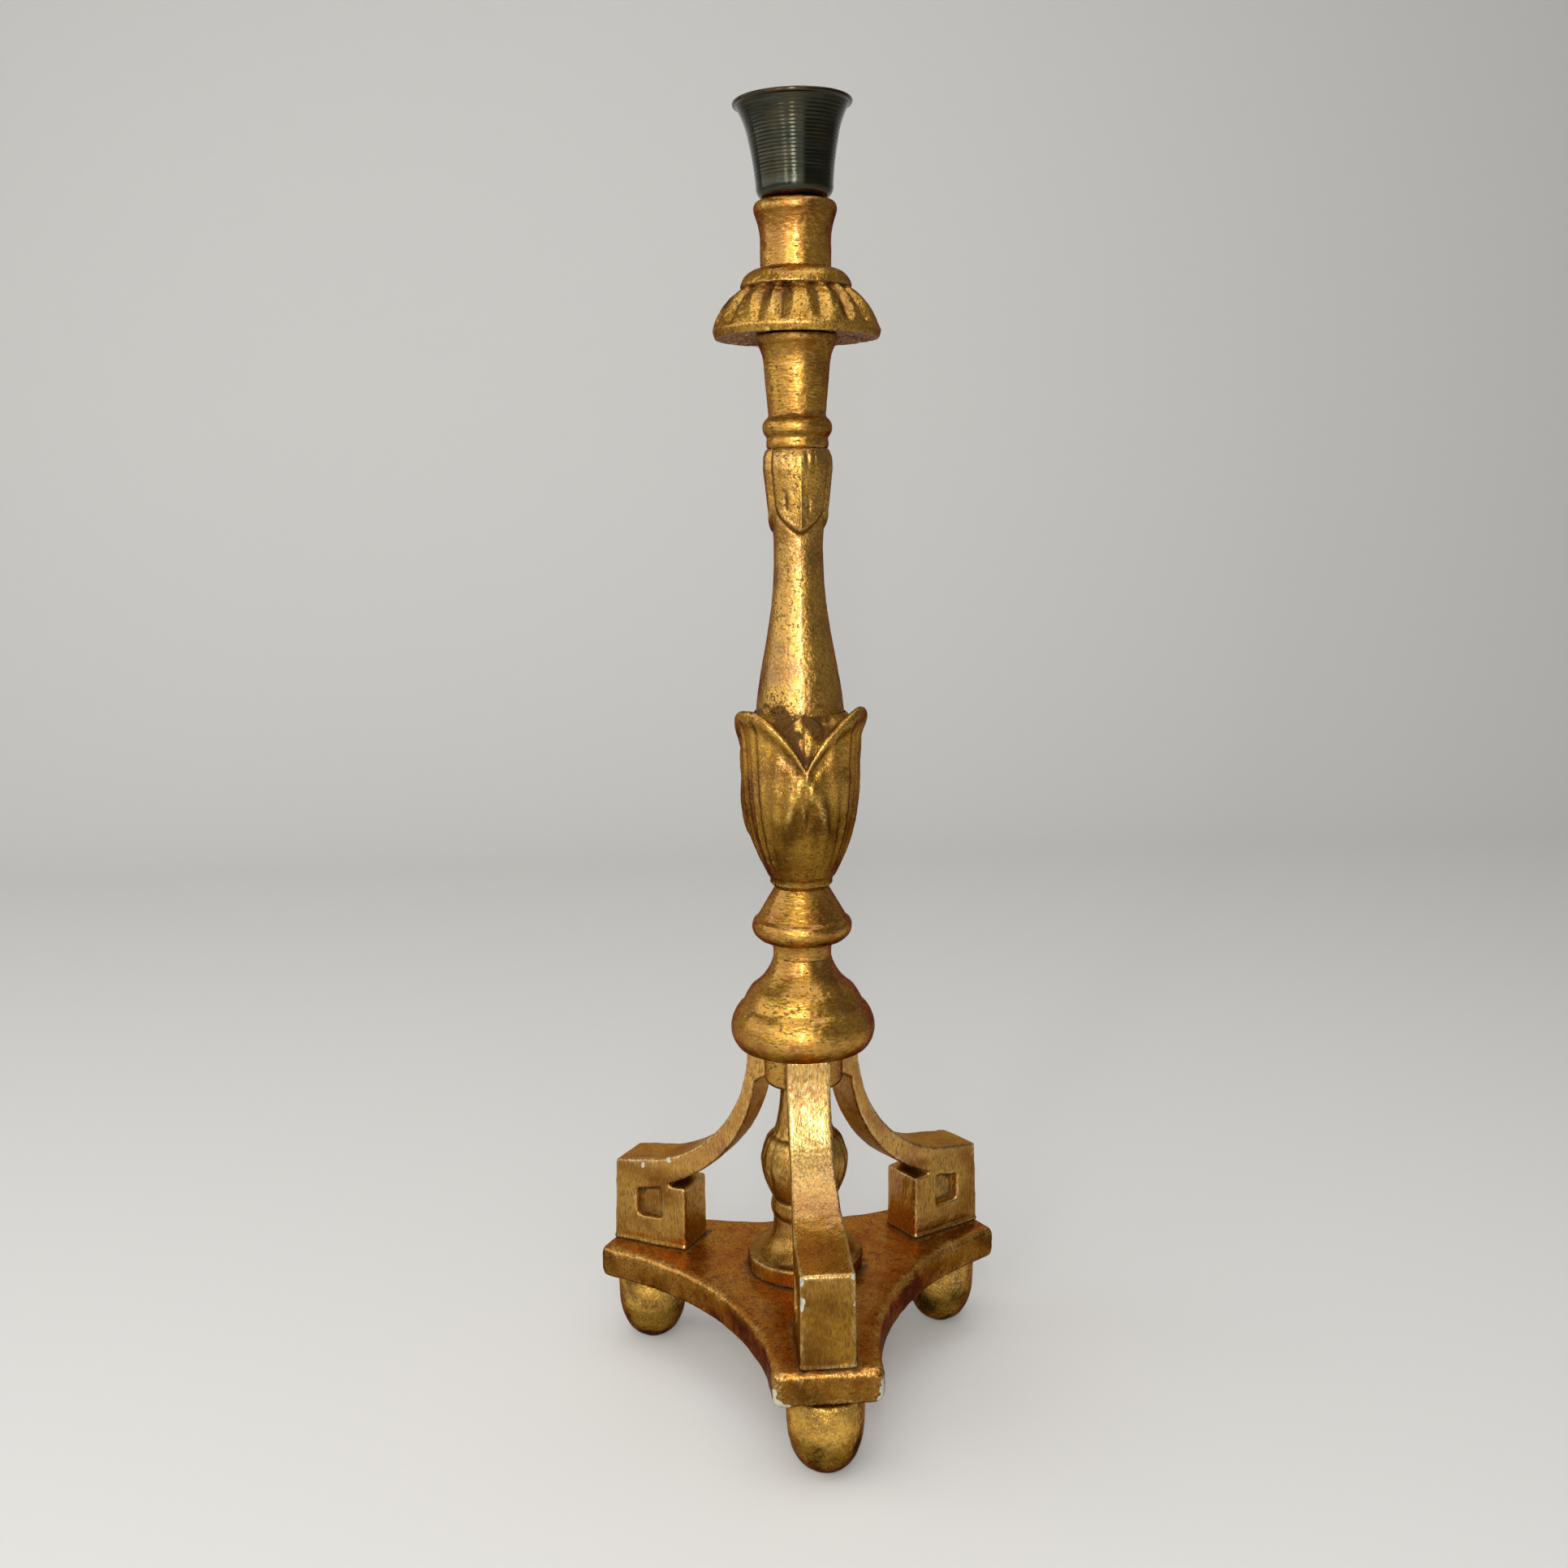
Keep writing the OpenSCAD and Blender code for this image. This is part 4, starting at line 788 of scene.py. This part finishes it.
def makeShaft():
    s, foot = shaft, footOf("leaf_shaft")
    outline = [(shaftRadius(h), h) for h in range(s["height"] + 1)]
    outline = bored(lapped(outline), holeEnd, holeEnd, s["height"])
    piece = turn("leafShaft", "leaf_shaft", outline, shaft, shaftGilt)

    def leaves(angle, z, radius):
        # Three pointed leaves hang from the ring, each with a crisp midrib, slots at its root and worn pits
        h = z - foot
        side = np.mod(angle + 60, 120) - 60
        m, rise = np.abs(side), h - s["tipZ"]
        half = s["half"] * np.sin(np.radians(90 * np.clip(rise / s["pointL"], 0, 1))) ** 0.95
        inside = half - m
        fade = np.clip((s["height"] - h) / 5, 0, 1) ** 0.5
        leaf = s["out"] * ramp(inside, -7, 14) * ramp(rise, -3.5, 3) + 0.3 * hill(inside - 9, 7)
        gutter = -0.3 * hill(inside + 7, 8) * ramp(rise, -8, 2)
        ridge = 1.5 * np.exp(-m / 5) * ramp(rise, -1, 5) * (0.3 + 0.7 * ramp(h, 146, 130)) * ramp(h, 160, 150)
        dish = -0.3 * hill(m - 18, 11) * ramp(inside, 4, 14) * ramp(rise, 4, 14) * ramp(h, 158, 148)
        slots = hill(m - 11, 3.4) * ramp(h, 146, 156) + 0.8 * hill(side - 24, 4) * ramp(h, 142, 156)
        slots += 0.9 * hill(side + 27, 4) * ramp(h, 148, 156) + 0.6 * hill(m - 42, 4.5) * ramp(h, 138, 156)
        pits = hill(side + 27, 4.5) * hill(h - 132, 5) + 0.6 * hill(side - 15, 3) * hill(h - 129, 4)
        return (leaf + gutter + ridge + dish - 0.55 * slots - pits) * fade * (radius > 10)

    carve(piece, leaves)

    def stainsAndTipShadow(points):  # painted shadow under the leaf tips, and brown dirt in the pits and along the ring
        angle, radius = roundAxis(points)
        h = points[:, 2] - foot
        side = np.mod(angle + 60, 120) - 60
        tipShadow = hill(h - s["tipZ"] - 3 - 0.02 * side**2, 5) * ramp(np.abs(side), 4, 16) * ramp(h, 105, 112)
        pits = 1.1 * hill(side + 27, 6) * hill(h - 132, 6) + 0.5 * hill(side - 15, 4) * hill(h - 129, 5)
        return 0.4 * tipShadow + pits

    return wear(piece, [(foot + s["height"], 1.6, 0.9), (foot + 12.5, 4, 1.5)], stainsAndTipShadow, seed=14)


# Leaf calyx

calyx = {
    "neckR": 16, "radius": 34.9, "bowlH": 74, "bowlK": 2.35, "tipH": 106, "tipOut": 2.9, "notchH": 72,
    "rimK": 0.8, "leafT": 3.4, "lipR": 2.0, "smallTipH": 104.5, "smallHalf": 34, "smallDrop": 16,
    "smallK": 1.6, "smallR": 33.4, "smallLean": 0.19, "crevice": 2.6, "valleyR": 31.2, "valleyH": 100.5,
    "collarH": 104.5, "collarR": 26.3, "boreR": 26.5, "floorH": 93, "columns": 360, "rows": 130,
    "rimRows": 72, "seed": 16,
}


def calyxRadius(h):
    c = calyx
    bowl = 1 - (1 - np.clip(h / c["bowlH"], 0, 1)) ** c["bowlK"]
    curl = (np.clip(h - c["bowlH"], 0, None) / (c["tipH"] - c["bowlH"])) ** 1.35
    return c["neckR"] + (c["radius"] - c["neckR"]) * bowl + c["tipOut"] * curl


def calyxEdge(part):  # height of the big leaves' rim, by the angle from the nearest notch
    c = calyx
    return c["notchH"] + (c["tipH"] - c["notchH"]) * np.sin(np.radians(part * 1.5)) ** c["rimK"]


def leafRelief(side, notchSide, h, edge):
    # side is the angle from the leaf's midrib, notchSide from the nearest notch, edge the height of the rim
    m, down, below = np.abs(side), edge - h, calyx["notchH"] - h
    body = ramp(h, 5, 24) * ramp(down, 0, 9)
    ribs = 0.7 * hill(side - 4, 2.8) + 0.6 * hill(m - 14, 3.2)
    ribs -= 0.55 * hill(m - 8.5, 3) + 0.35 * hill(m - 19.5, 3.4)
    # Soft flutes fan out towards the rim, broader near the notch
    fan = m - 0.13 * (h - 40)
    flutes = 0.42 * np.cos(np.radians((fan - 27) * 360 / 15))
    flutes *= ramp(m, 17, 25) * ramp(m, 56, 44) * ramp(h, 14, 34)
    # The rim is rolled over, thick at the tips and thin beside the notches
    tip = ramp(m, 46, 16)
    lip = (1.4 + 0.7 * tip) * hill(down - 1.5 - 1.2 * tip, 4.0 + 1.6 * tip)
    lip -= 0.8 * hill(down - 10 - 3 * tip, 4.5) * ramp(m, 6, 24)
    # Below the notch two folds part to left and right, with a rumpled seam between them
    foldLeft = 2.3 * hill(notchSide + 0.62 * below + 2, 7.6) * ramp(below, 44, 26) * ramp(below, -1, 4)
    foldRight = 2.2 * hill(notchSide - 0.55 * (below - 6) - 5, 7.2) * ramp(below, 50, 34) * ramp(below, 2, 10)
    # How far each lump stands out, its angle and width, and its depth below the notch and height
    seam = sum(out * hill(notchSide - at, wide) * hill(below - deep, tall) for out, at, wide, deep, tall in (
        (1.4, 3.5, 3, 12, 6), (0.9, 1, 2.2, 2, 5), (0.9, -2.5, 2.4, 22, 4), (0.7, 5, 8, 48, 12),
        (-1.3, 1, 2.2, 27, 6), (-0.8, 15, 4.5, -2, 11), (-0.5, -13, 5, 4, 12)))
    foot = 0.9 * hill(h - 2.2, 1.6) - 0.45 * hill(h - 5.4, 1.6)
    return body * (ribs + flutes) + lip + foldLeft + foldRight + seam + foot


def calyxLine(angle):  # one upright line over the outer face, lip, small leaf and shelf down to the bore
    c = calyx
    a = float(fromPart(np.array([angle]), 120)[0])
    side, notchSide = (angle % 120) - 60, (angle + 60) % 120 - 60
    edge = float(calyxEdge(a)) + 0.5 * math.sin(math.radians(angle * 7)) * (a / 60)
    h = np.linspace(0, edge, c["rows"])
    outer = calyxRadius(h) + leafRelief(side, notchSide, h, edge)
    top, lip = float(outer[-1]), c["lipR"]
    face = np.column_stack([outer, h])
    turns = np.linspace(0, math.pi * 0.8, 9)[1:]
    rim = [(top - lip * (1 - math.cos(t)), edge + lip * 0.8 * math.sin(t)) for t in turns]
    inside, behind = top - c["leafT"], edge - 0.9
    smallH = c["smallTipH"] - c["smallDrop"] * (a / c["smallHalf"]) ** c["smallK"]
    shown = float(ramp(smallH - edge, -1, 4))  # how much of a small leaf shows on this line
    rim.append((inside + 0.2, behind - c["crevice"] * shown))
    back = max(smallH, behind)
    fold = 0.9 * math.cos(math.radians(min(a / c["smallHalf"], 1) * 90)) - 0.5 * float(hill(a - 0.6, 2.2))
    for t in np.linspace(0.1, 1, 10):
        z = behind + (back - behind) * t
        leaf = c["smallR"] - c["smallLean"] * (z - c["notchH"]) + fold * shown
        leaf = min(leaf + 0.7 * shown * float(hill(back - z - 0.8, 1.6)), inside + 0.3)
        bare = inside - 1.4 * t
        rim.append((bare if shown < 0.02 else (1 - shown) * bare + shown * leaf, z))
    last = rim[-1][0]
    rim.append((last - 1.1, back + 0.3 * shown))
    valley = min(edge - 0.6, c["valleyH"]) * (1 - shown) + shown * min(back - 0.5, c["valleyH"] + 1.5)
    reach = min(c["valleyR"], last - 1.6)
    rim += [(reach, valley), ((reach + c["collarR"]) / 2 + 0.2, valley + (c["collarH"] - valley) * 0.4)]
    rim += [(c["collarR"] + 0.5, c["collarH"] - 0.7), (c["collarR"], c["collarH"])]
    rim += [(c["boreR"], c["collarH"] - 1.4), (c["boreR"], c["floorH"])]
    rim = soften(np.vstack([face[-1:], rim]), 0.3, 0.8)
    along = np.linspace(0, len(rim) - 1, c["rimRows"])
    rim = np.column_stack([np.interp(along, np.arange(len(rim)), rim[:, i]) for i in (0, 1)])
    return np.vstack([face, rim[1:]])


def makeCalyx():
    c, foot, columns = calyx, footOf("leaf_calyx"), calyx["columns"]
    grid = np.array([calyxLine(360 * i / columns) for i in range(columns)])  # columns, rows, (r, h)
    for turn in range(2):  # softens the carving from line to line
        grid = (np.roll(grid, 1, 0) + 2 * grid + np.roll(grid, -1, 0)) / 4
    around = np.radians(360 * np.arange(columns) / columns)[:, None]
    points = [grid[..., 0] * np.sin(around), -grid[..., 0] * np.cos(around), grid[..., 1] + foot]
    flat = [tuple(p) for p in np.stack(points, axis=-1).reshape(-1, 3)]
    low, high, count = len(flat), len(flat) + 1, grid.shape[1]
    faces = []
    for i in range(columns):
        one, other = i * count, (i + 1) % columns * count
        faces += [(one + k, other + k, other + k + 1, one + k + 1) for k in range(count - 1)]
        faces += [(low, other, one), (high, one + count - 1, other + count - 1)]
    piece = newPiece("leafCalyx", flat + [(0, 0, foot), (0, 0, foot + c["floorH"])], faces)
    faceOut(piece.data)
    points, normals = pointsOf(piece.data), normalsOf(piece.data)
    angle, radius = roundAxis(points)
    h = points[:, 2] - foot
    free = ramp(h, 0, 3) * ramp(radius, 26.8, 28.5) + (h < 60) * ramp(h, 0, 3) * (radius < 26.8)
    rough = (0.3 * lumps(points, 8, 4) + 0.16 * lumps(points, 3, 5)) * np.clip(free, 0, 1)
    movePoints(piece.data, points + normals * rough[:, None])
    piece.data.materials.append(leafGilt)

    def notch(points):  # height over the big leaves' rim, and how much a point is on a small leaf
        angle, radius = roundAxis(points)
        h, part = points[:, 2] - foot, fromPart(angle, 120)
        small = ramp(calyxRadius(h) - radius, 1.2, 2.6) * ramp(part, 42, 30) * ramp(h, 70, 74)
        return h - calyxEdge(part), small

    # Painted shade in the crevices behind the big leaves' rims and over the small leaves, dirt on the shelf
    # and at the foot, and darker low on the bowl
    def dirtAndShadeInHollows(points):
        angle, radius = roundAxis(points)
        h = points[:, 2] - foot
        shelf = ramp(h, 90, 94) * ramp(radius, 34.5, 31) * ramp(radius, 25, 26.2)
        over, small = notch(points)
        crevice = (1.5 * hill(over - 0.5, 6) + 0.45) * small
        return 0.9 * shelf + crevice + 0.75 * hill(h, 1.4) + 0.5 * hill(h - 12, 9) * ramp(radius, 20, 24)

    # Painted shade: darker towards the bottom and on the small leaves behind the rims
    def shadedBelow(points, normals):
        return 0.95 * ramp(points[:, 2], foot + 80, foot + 20) + 0.5 * notch(points)[1]

    return wear(piece, (), dirtAndShadeInHollows, seed=c["seed"], glaze=shadedBelow)


# Legs and plinth

leg = {
    "width": 30.8, "topWidth": 25.8, "taperIn": 50, "taperOut": 90, "strap": 8.6, "heel": 3.2, "sweep": 17.2,
    "sweepDrop": 5, "belly": 15.3, "flatIn": (94, 57.6), "slotR": 92.5, "blockIn": 75.9, "blockH": 40.5,
    "outR": 125.2, "batter": 2.2, "cornerH": 53, "voxel": 0.85, "softening": 30, "skirt": 1.3,
    "recess": ((92.7, 18.2), (110, 18.2), (110, 35.4), (92.7, 38.8)), "recessD": 6,
}


def prism(name, outline, low, high, turned=True):
    # An outline of distance and height becomes a board across X, or an outline of X and Y a board along Z
    count = len(outline)
    if turned:
        points = [(x, -r, z) for x in (low, high) for r, z in outline]
    else:
        points = [(x, y, z) for z in (low, high) for x, y in outline]
    faces = [tuple(range(count))[::-1], tuple(range(count, 2 * count))]
    faces += [(i, (i + 1) % count, count + (i + 1) % count, count + i) for i in range(count)]
    piece = newPiece(name, points, faces)
    faceOut(piece.data)
    return piece


def cutAway(piece, cutters):
    for cutter in cutters:
        modifier = piece.modifiers.new("Cut", "BOOLEAN")
        modifier.operation, modifier.solver, modifier.object = "DIFFERENCE", "EXACT", cutter
    finished(piece)
    for cutter in cutters:
        bpy.data.objects.remove(cutter)
    return piece


def handWorked(piece, shape, finish):  # a fine even skin with the edges rubbed round
    skin = piece.modifiers.new("Skin", "REMESH")
    skin.mode, skin.voxel_size, skin.adaptivity = "VOXEL", shape["voxel"] * mm, 0
    soft = piece.modifiers.new("Soft", "SMOOTH")
    soft.factor, soft.iterations = 0.5, shape["softening"]
    mesh = finished(piece).data
    mesh.materials.clear()
    mesh.materials.append(finish)
    return pointsOf(mesh), normalsOf(mesh)


def makeLeg(name, number, chips=()):
    base, hubZ, bellZ = footOf("centre_baluster"), footOf("leg_hub"), footOf("bell")
    blockZ, half, hubR = base + leg["blockH"], leg["width"] / 2, hub["radius"]
    endR = math.sqrt(hubR**2 - leg["topWidth"] ** 2 / 4) - 1
    outline = drawn(
        (endR, bellZ), (endR, hubZ + 4), (hubR + leg["heel"], hubZ), (leg["slotR"], blockZ, leg["belly"], 30),
        (leg["blockIn"], blockZ), (leg["blockIn"], base), (leg["outR"] + leg["batter"], base),
        (leg["outR"], base + leg["cornerH"]), (leg["flatIn"][0], base + leg["flatIn"][1]),
        (hubR + leg["strap"], bellZ - leg["sweepDrop"], -leg["sweep"], 30), (hubR + leg["strap"], bellZ))
    piece = prism("strapLeg." + name, outline, -half, half)
    recess = [(r, base + z) for r, z in leg["recess"]]
    turns = np.linspace(0, 2 * math.pi, 64, False)
    drum = [(hubR * math.sin(a), -hubR * math.cos(a)) for a in turns]
    cutAway(piece, [
        prism("recessOne", recess, half - leg["recessD"], half + 1),
        prism("recessTwo", recess, -half - 1, leg["recessD"] - half),
        prism("drumCut", drum, hubZ - 1, bellZ + 1, turned=False),
    ])
    points, normals = handWorked(piece, leg, strapGilt)
    slim = (leg["topWidth"] / leg["width"], 1)
    points[:, 0] *= np.interp(-points[:, 1], (leg["taperIn"], leg["taperOut"]), slim)
    rough = 0.30 * lumps(points, 13, number) + 0.16 * lumps(points, 4.5, number + 0.5)
    rough += 0.06 * lumps(points, 1.8, number + 0.7)
    skirt = leg["skirt"] * ramp(points[:, 2] - base, 3.2, 0) * np.hypot(normals[:, 0], normals[:, 1])
    movePoints(piece.data, points + normals * (rough * ramp(points[:, 2] - base, 0, 2) + skirt)[:, None])

    def corners(points):
        near = hill(points[:, 2] - base, 1.6) * 0.9 + hill(points[:, 2] - bellZ, 2.2) * 0.8
        inRecess = (np.abs(points[:, 0]) < half - 3) & (-points[:, 1] > 93.5) & (-points[:, 1] < 109)
        inRecess &= (points[:, 2] > base + 19) & (points[:, 2] < base + 37) & (np.abs(points[:, 0]) > 7)
        return near + 0.35 * inRecess

    def shadedLowFaces(points, normals):  # painted shade: the upright faces near the plinth are darkest, and the flanks a little darker
        flank = ramp(np.abs(normals[:, 0]), 0.3, 0.7)
        low = ramp(points[:, 2], base + 57, base + 49) * ramp(np.abs(normals[:, 2]), 0.7, 0.3)
        return (low * (1 - 0.5 * flank) + 0.15 * flank) * ramp(normals[:, 1], 0.7, 0.4)

    def burnishedHighlight(points, normals):  # painted highlight on the upper outer side of the strap, partly where hands have rubbed it pale
        return 1.2 * ramp(-normals[:, 1], 0.4, 0.85) * hill(points[:, 2] - base - 105, 38)

    wear(piece, (), corners, chips, seed=20 + number, glaze=shadedLowFaces, burnishAndHighlight=burnishedHighlight)
    piece.data.transform(Matrix.Rotation(math.radians(legAngles[name]), 4, "Z"))
    return piece


plinth = {
    "thick": 21.8, "cornerR": 130.1, "cornerW": 63, "waistR": 65, "edge": 5.2, "voxel": 1.1, "softening": 20,
    "chips": [(-29.5, -128.3, 51, 4.4), (-30, -128, 57, 2.8), (-23, -129.5, 48, 2.8),
              (29.5, -128.3, 50.5, 3.4), (30, -128, 56, 3.2), (30, -128.3, 61, 2.2)],
}


def makePlinth():
    p, half, foot = plinth, plinth["cornerW"] / 2, footOf("plinth")
    sixth = math.radians(60)
    rise = (p["cornerR"] + half * math.tan(sixth)) * math.cos(sixth) - p["waistR"]
    outline = []
    for number in range(3):  # from one end of a corner's cut to the near end of the next one
        ends = []
        for turn, across in ((-90, half), (30, -half)):
            a = math.radians(number * 120 + turn)
            way, side = np.array([math.cos(a), math.sin(a)]), np.array([-math.sin(a), math.cos(a)])
            ends.append(p["cornerR"] * way + across * side)
        outline += bow(*ends, -rise, 40)
    piece = prism("threeCorneredPlinth", outline, foot, foot + p["thick"], turned=False)
    rounded = piece.modifiers.new("Edge", "BEVEL")
    rounded.width, rounded.segments = p["edge"] * mm, 4
    rounded.limit_method, rounded.angle_limit = "ANGLE", math.radians(35)
    points, normals = handWorked(piece, plinth, plinthGilt)
    rough = 0.4 * lumps(points, 22, 1) + 0.22 * lumps(points, 6, 2) + 0.08 * lumps(points, 2.2, 3)
    movePoints(piece.data, points + normals * (rough - 0.35)[:, None])
    top = foot + p["thick"]

    def contactShadeAndDirt(points):  # painted shade round the leg blocks and the baluster's foot, with dirt in the joints
        dirt = np.zeros(len(points))
        for turn in legAngles.values():
            a = math.radians(turn)
            across = points[:, 0] * math.cos(a) + points[:, 1] * math.sin(a)
            along = points[:, 0] * math.sin(a) - points[:, 1] * math.cos(a)
            outX = np.abs(across) - leg["width"] / 2
            outY = np.maximum(leg["blockIn"] - along, along - leg["outR"] - leg["batter"])
            gap = np.hypot(np.maximum(outX, 0), np.maximum(outY, 0))
            dirt = np.maximum(dirt, hill(gap, 3.2) + 0.35 * hill(gap, 9))
        disc = np.maximum(np.hypot(points[:, 0], points[:, 1]) - baluster["discR"], 0)
        dirt = np.maximum(dirt, hill(disc, 3.5) + 0.4 * hill(disc, 11))
        return dirt * ramp(points[:, 2], top - 3, top - 1.5)

    # Painted shade: the upright sides darker than the top
    def shadedSides(points, normals):
        return 0.95 * ramp(np.abs(normals[:, 2]), 0.6, 0.3)

    return wear(piece, (), contactShadeAndDirt, p["chips"], seed=30, glaze=shadedSides)


# Make, name and place every piece

legChips = {
    "front": [(-14.8, -124.8, 118.5, 2.2), (-15, -125.5, 107.5, 2.3), (-15, -125.3, 104, 2.2),
              (14.8, -124.3, 120, 2.2), (15.3, -125.4, 105, 1.8)],
    "left": [(14.6, -87, 127.2, 1.9), (15.4, -105, 121, 1.7)],
    "right": [],
}
pieces = {
    "candle_cup": makeCup(), "neck_socket": makeNeck(), "drip_pan": makePan(), "upper_stem": makeStem(),
    "leaf_shaft": makeShaft(), "leaf_calyx": makeCalyx(), "knop_disc": makeKnop(), "bell": makeBell(),
    "leg_hub": makeHub(), "centre_baluster": makeBaluster(),
}
for number, side in enumerate(legAngles, 1):
    pieces["leg_" + side] = makeLeg(side, number, legChips[side])
pieces["plinth"] = makePlinth()
for number, side in enumerate(legAngles, 1):
    pieces["foot_" + side] = makeFoot(side, number)

for node, piece in pieces.items():
    isCup = node == "candle_cup"
    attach(piece, "cup" if isCup else "stand")
    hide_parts(node)
    print(piece.name, len(piece.data.polygons), "faces")

inner = {
    "pan_dowel": dowelWood, "stem_dowel": dowelWood, "calyx_dowel": dowelWood, "knop_dowel": dowelWood,
    "leg_dowels": dowelWood, "base_screw": darkIron, "cup_spigot": dullBrass,
}
for node, material in inner.items():
    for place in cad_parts[node].material_slots:
        place.material = material
print("pieces placed")


# Stage, light and camera

studio = {
    "paper": "#dcdad6", "glow": 0.12, "backAt": 1.5, "curve": 0.7, "side": 4.0, "high": 3.0, "room": 0.16,
    "target": (0, 0, 0.4),
}
lamps = {  # place, width and height in metres, and power in watts
    "keyPanel": ((0.25, -1.95, 0.85), (1.0, 1.6), 6), "widePanel": ((-1.0, -1.73, 1.1), (2.2, 1.5), 16),
    "leftPanel": ((-2.2, -0.1, 1.15), (2.5, 1.5), 14), "stripPanel": ((-0.22, -1.9, 0.95), (0.12, 1.3), 12),
    "sideStrip": ((-0.95, -1.7, 0.95), (0.14, 1.3), 4), "topPanel": ((0, -0.3, 2.3), (2.0, 2.0), 20),
}


def makeStage():
    s = studio
    path = [(-s["side"], 0)]
    for turn in np.linspace(0, math.pi / 2, 17):
        path.append((s["backAt"] + s["curve"] * math.sin(turn), s["curve"] * (1 - math.cos(turn))))
    path.append((s["backAt"] + s["curve"], s["high"]))
    points = [(x / mm, y / mm, z / mm) for y, z in path for x in (-s["side"], s["side"])]
    faces = [(2 * i, 2 * i + 1, 2 * i + 3, 2 * i + 2) for i in range(len(path) - 1)]
    sweep = newPiece("paperSweep", points, faces)
    sweep.data.shade_smooth()
    material, node, shader, place = newMaterial("palePaper")  # matt seamless paper as floor and backdrop
    rays = node("LightPath", out=None)
    seen = node("Math", (rays["Is Camera Ray"], rays["Is Glossy Ray"]), operation="MAXIMUM")
    seen = node("Math", (seen, rays["Is Transmission Ray"]), operation="MAXIMUM")
    feed(shader, {
        "Base Color": hexColour(s["paper"]), "Roughness": 0.7, "Emission Color": hexColour(s["paper"]),
        "Emission Strength": node("Math", (seen, s["glow"]), operation="MULTIPLY"),
    })
    sweep.data.materials.append(material)
    world = bpy.data.worlds.new("studioRoom")
    world.use_nodes = True
    feed(world.node_tree.nodes["Background"], {"Color": (1, 1, 1, 1), "Strength": s["room"]})
    bpy.context.scene.world = world


def makeLamp(name, place, size, power):
    light = bpy.data.lights.new(name, "AREA")
    light.shape, light.size, light.size_y, light.energy = "RECTANGLE", *size, power
    aim = (Vector(studio["target"]) - Vector(place)).to_track_quat("-Z", "Y").to_matrix().to_4x4()
    lamp = bpy.data.objects.new(name, light)
    lamp.matrix_world = Matrix.Translation(place) @ aim
    bpy.context.collection.objects.link(lamp)


camera = {
    "place": (-0.0900, -0.9320, 0.5254), "lens": 37.08, "sensor": 36.0, "down": 9.484, "right": 4.916,
    "roll": -0.650,
}


def makeCamera():
    down, right, roll = (math.radians(camera[k]) for k in ("down", "right", "roll"))
    ahead = Vector((math.sin(right) * math.cos(down), math.cos(right) * math.cos(down), -math.sin(down)))
    side = Vector((math.cos(right), -math.sin(right), 0))
    up = side.cross(ahead)
    side, up = side * math.cos(roll) + up * math.sin(roll), up * math.cos(roll) - side * math.sin(roll)
    lens = bpy.data.cameras.new("studioCamera")
    lens.lens, lens.sensor_width, lens.clip_start = camera["lens"], camera["sensor"], 0.01
    holder = bpy.data.objects.new("studioCamera", lens)
    turned = Matrix((side, up, -ahead)).transposed().to_4x4()
    holder.matrix_world = Matrix.Translation(camera["place"]) @ turned
    bpy.context.collection.objects.link(holder)
    bpy.context.scene.camera = holder


makeStage()
for name, lamp in lamps.items():
    makeLamp(name, *lamp)
makeCamera()
bpy.context.scene.view_settings.view_transform = "Standard"
print("stage, lights and camera set")
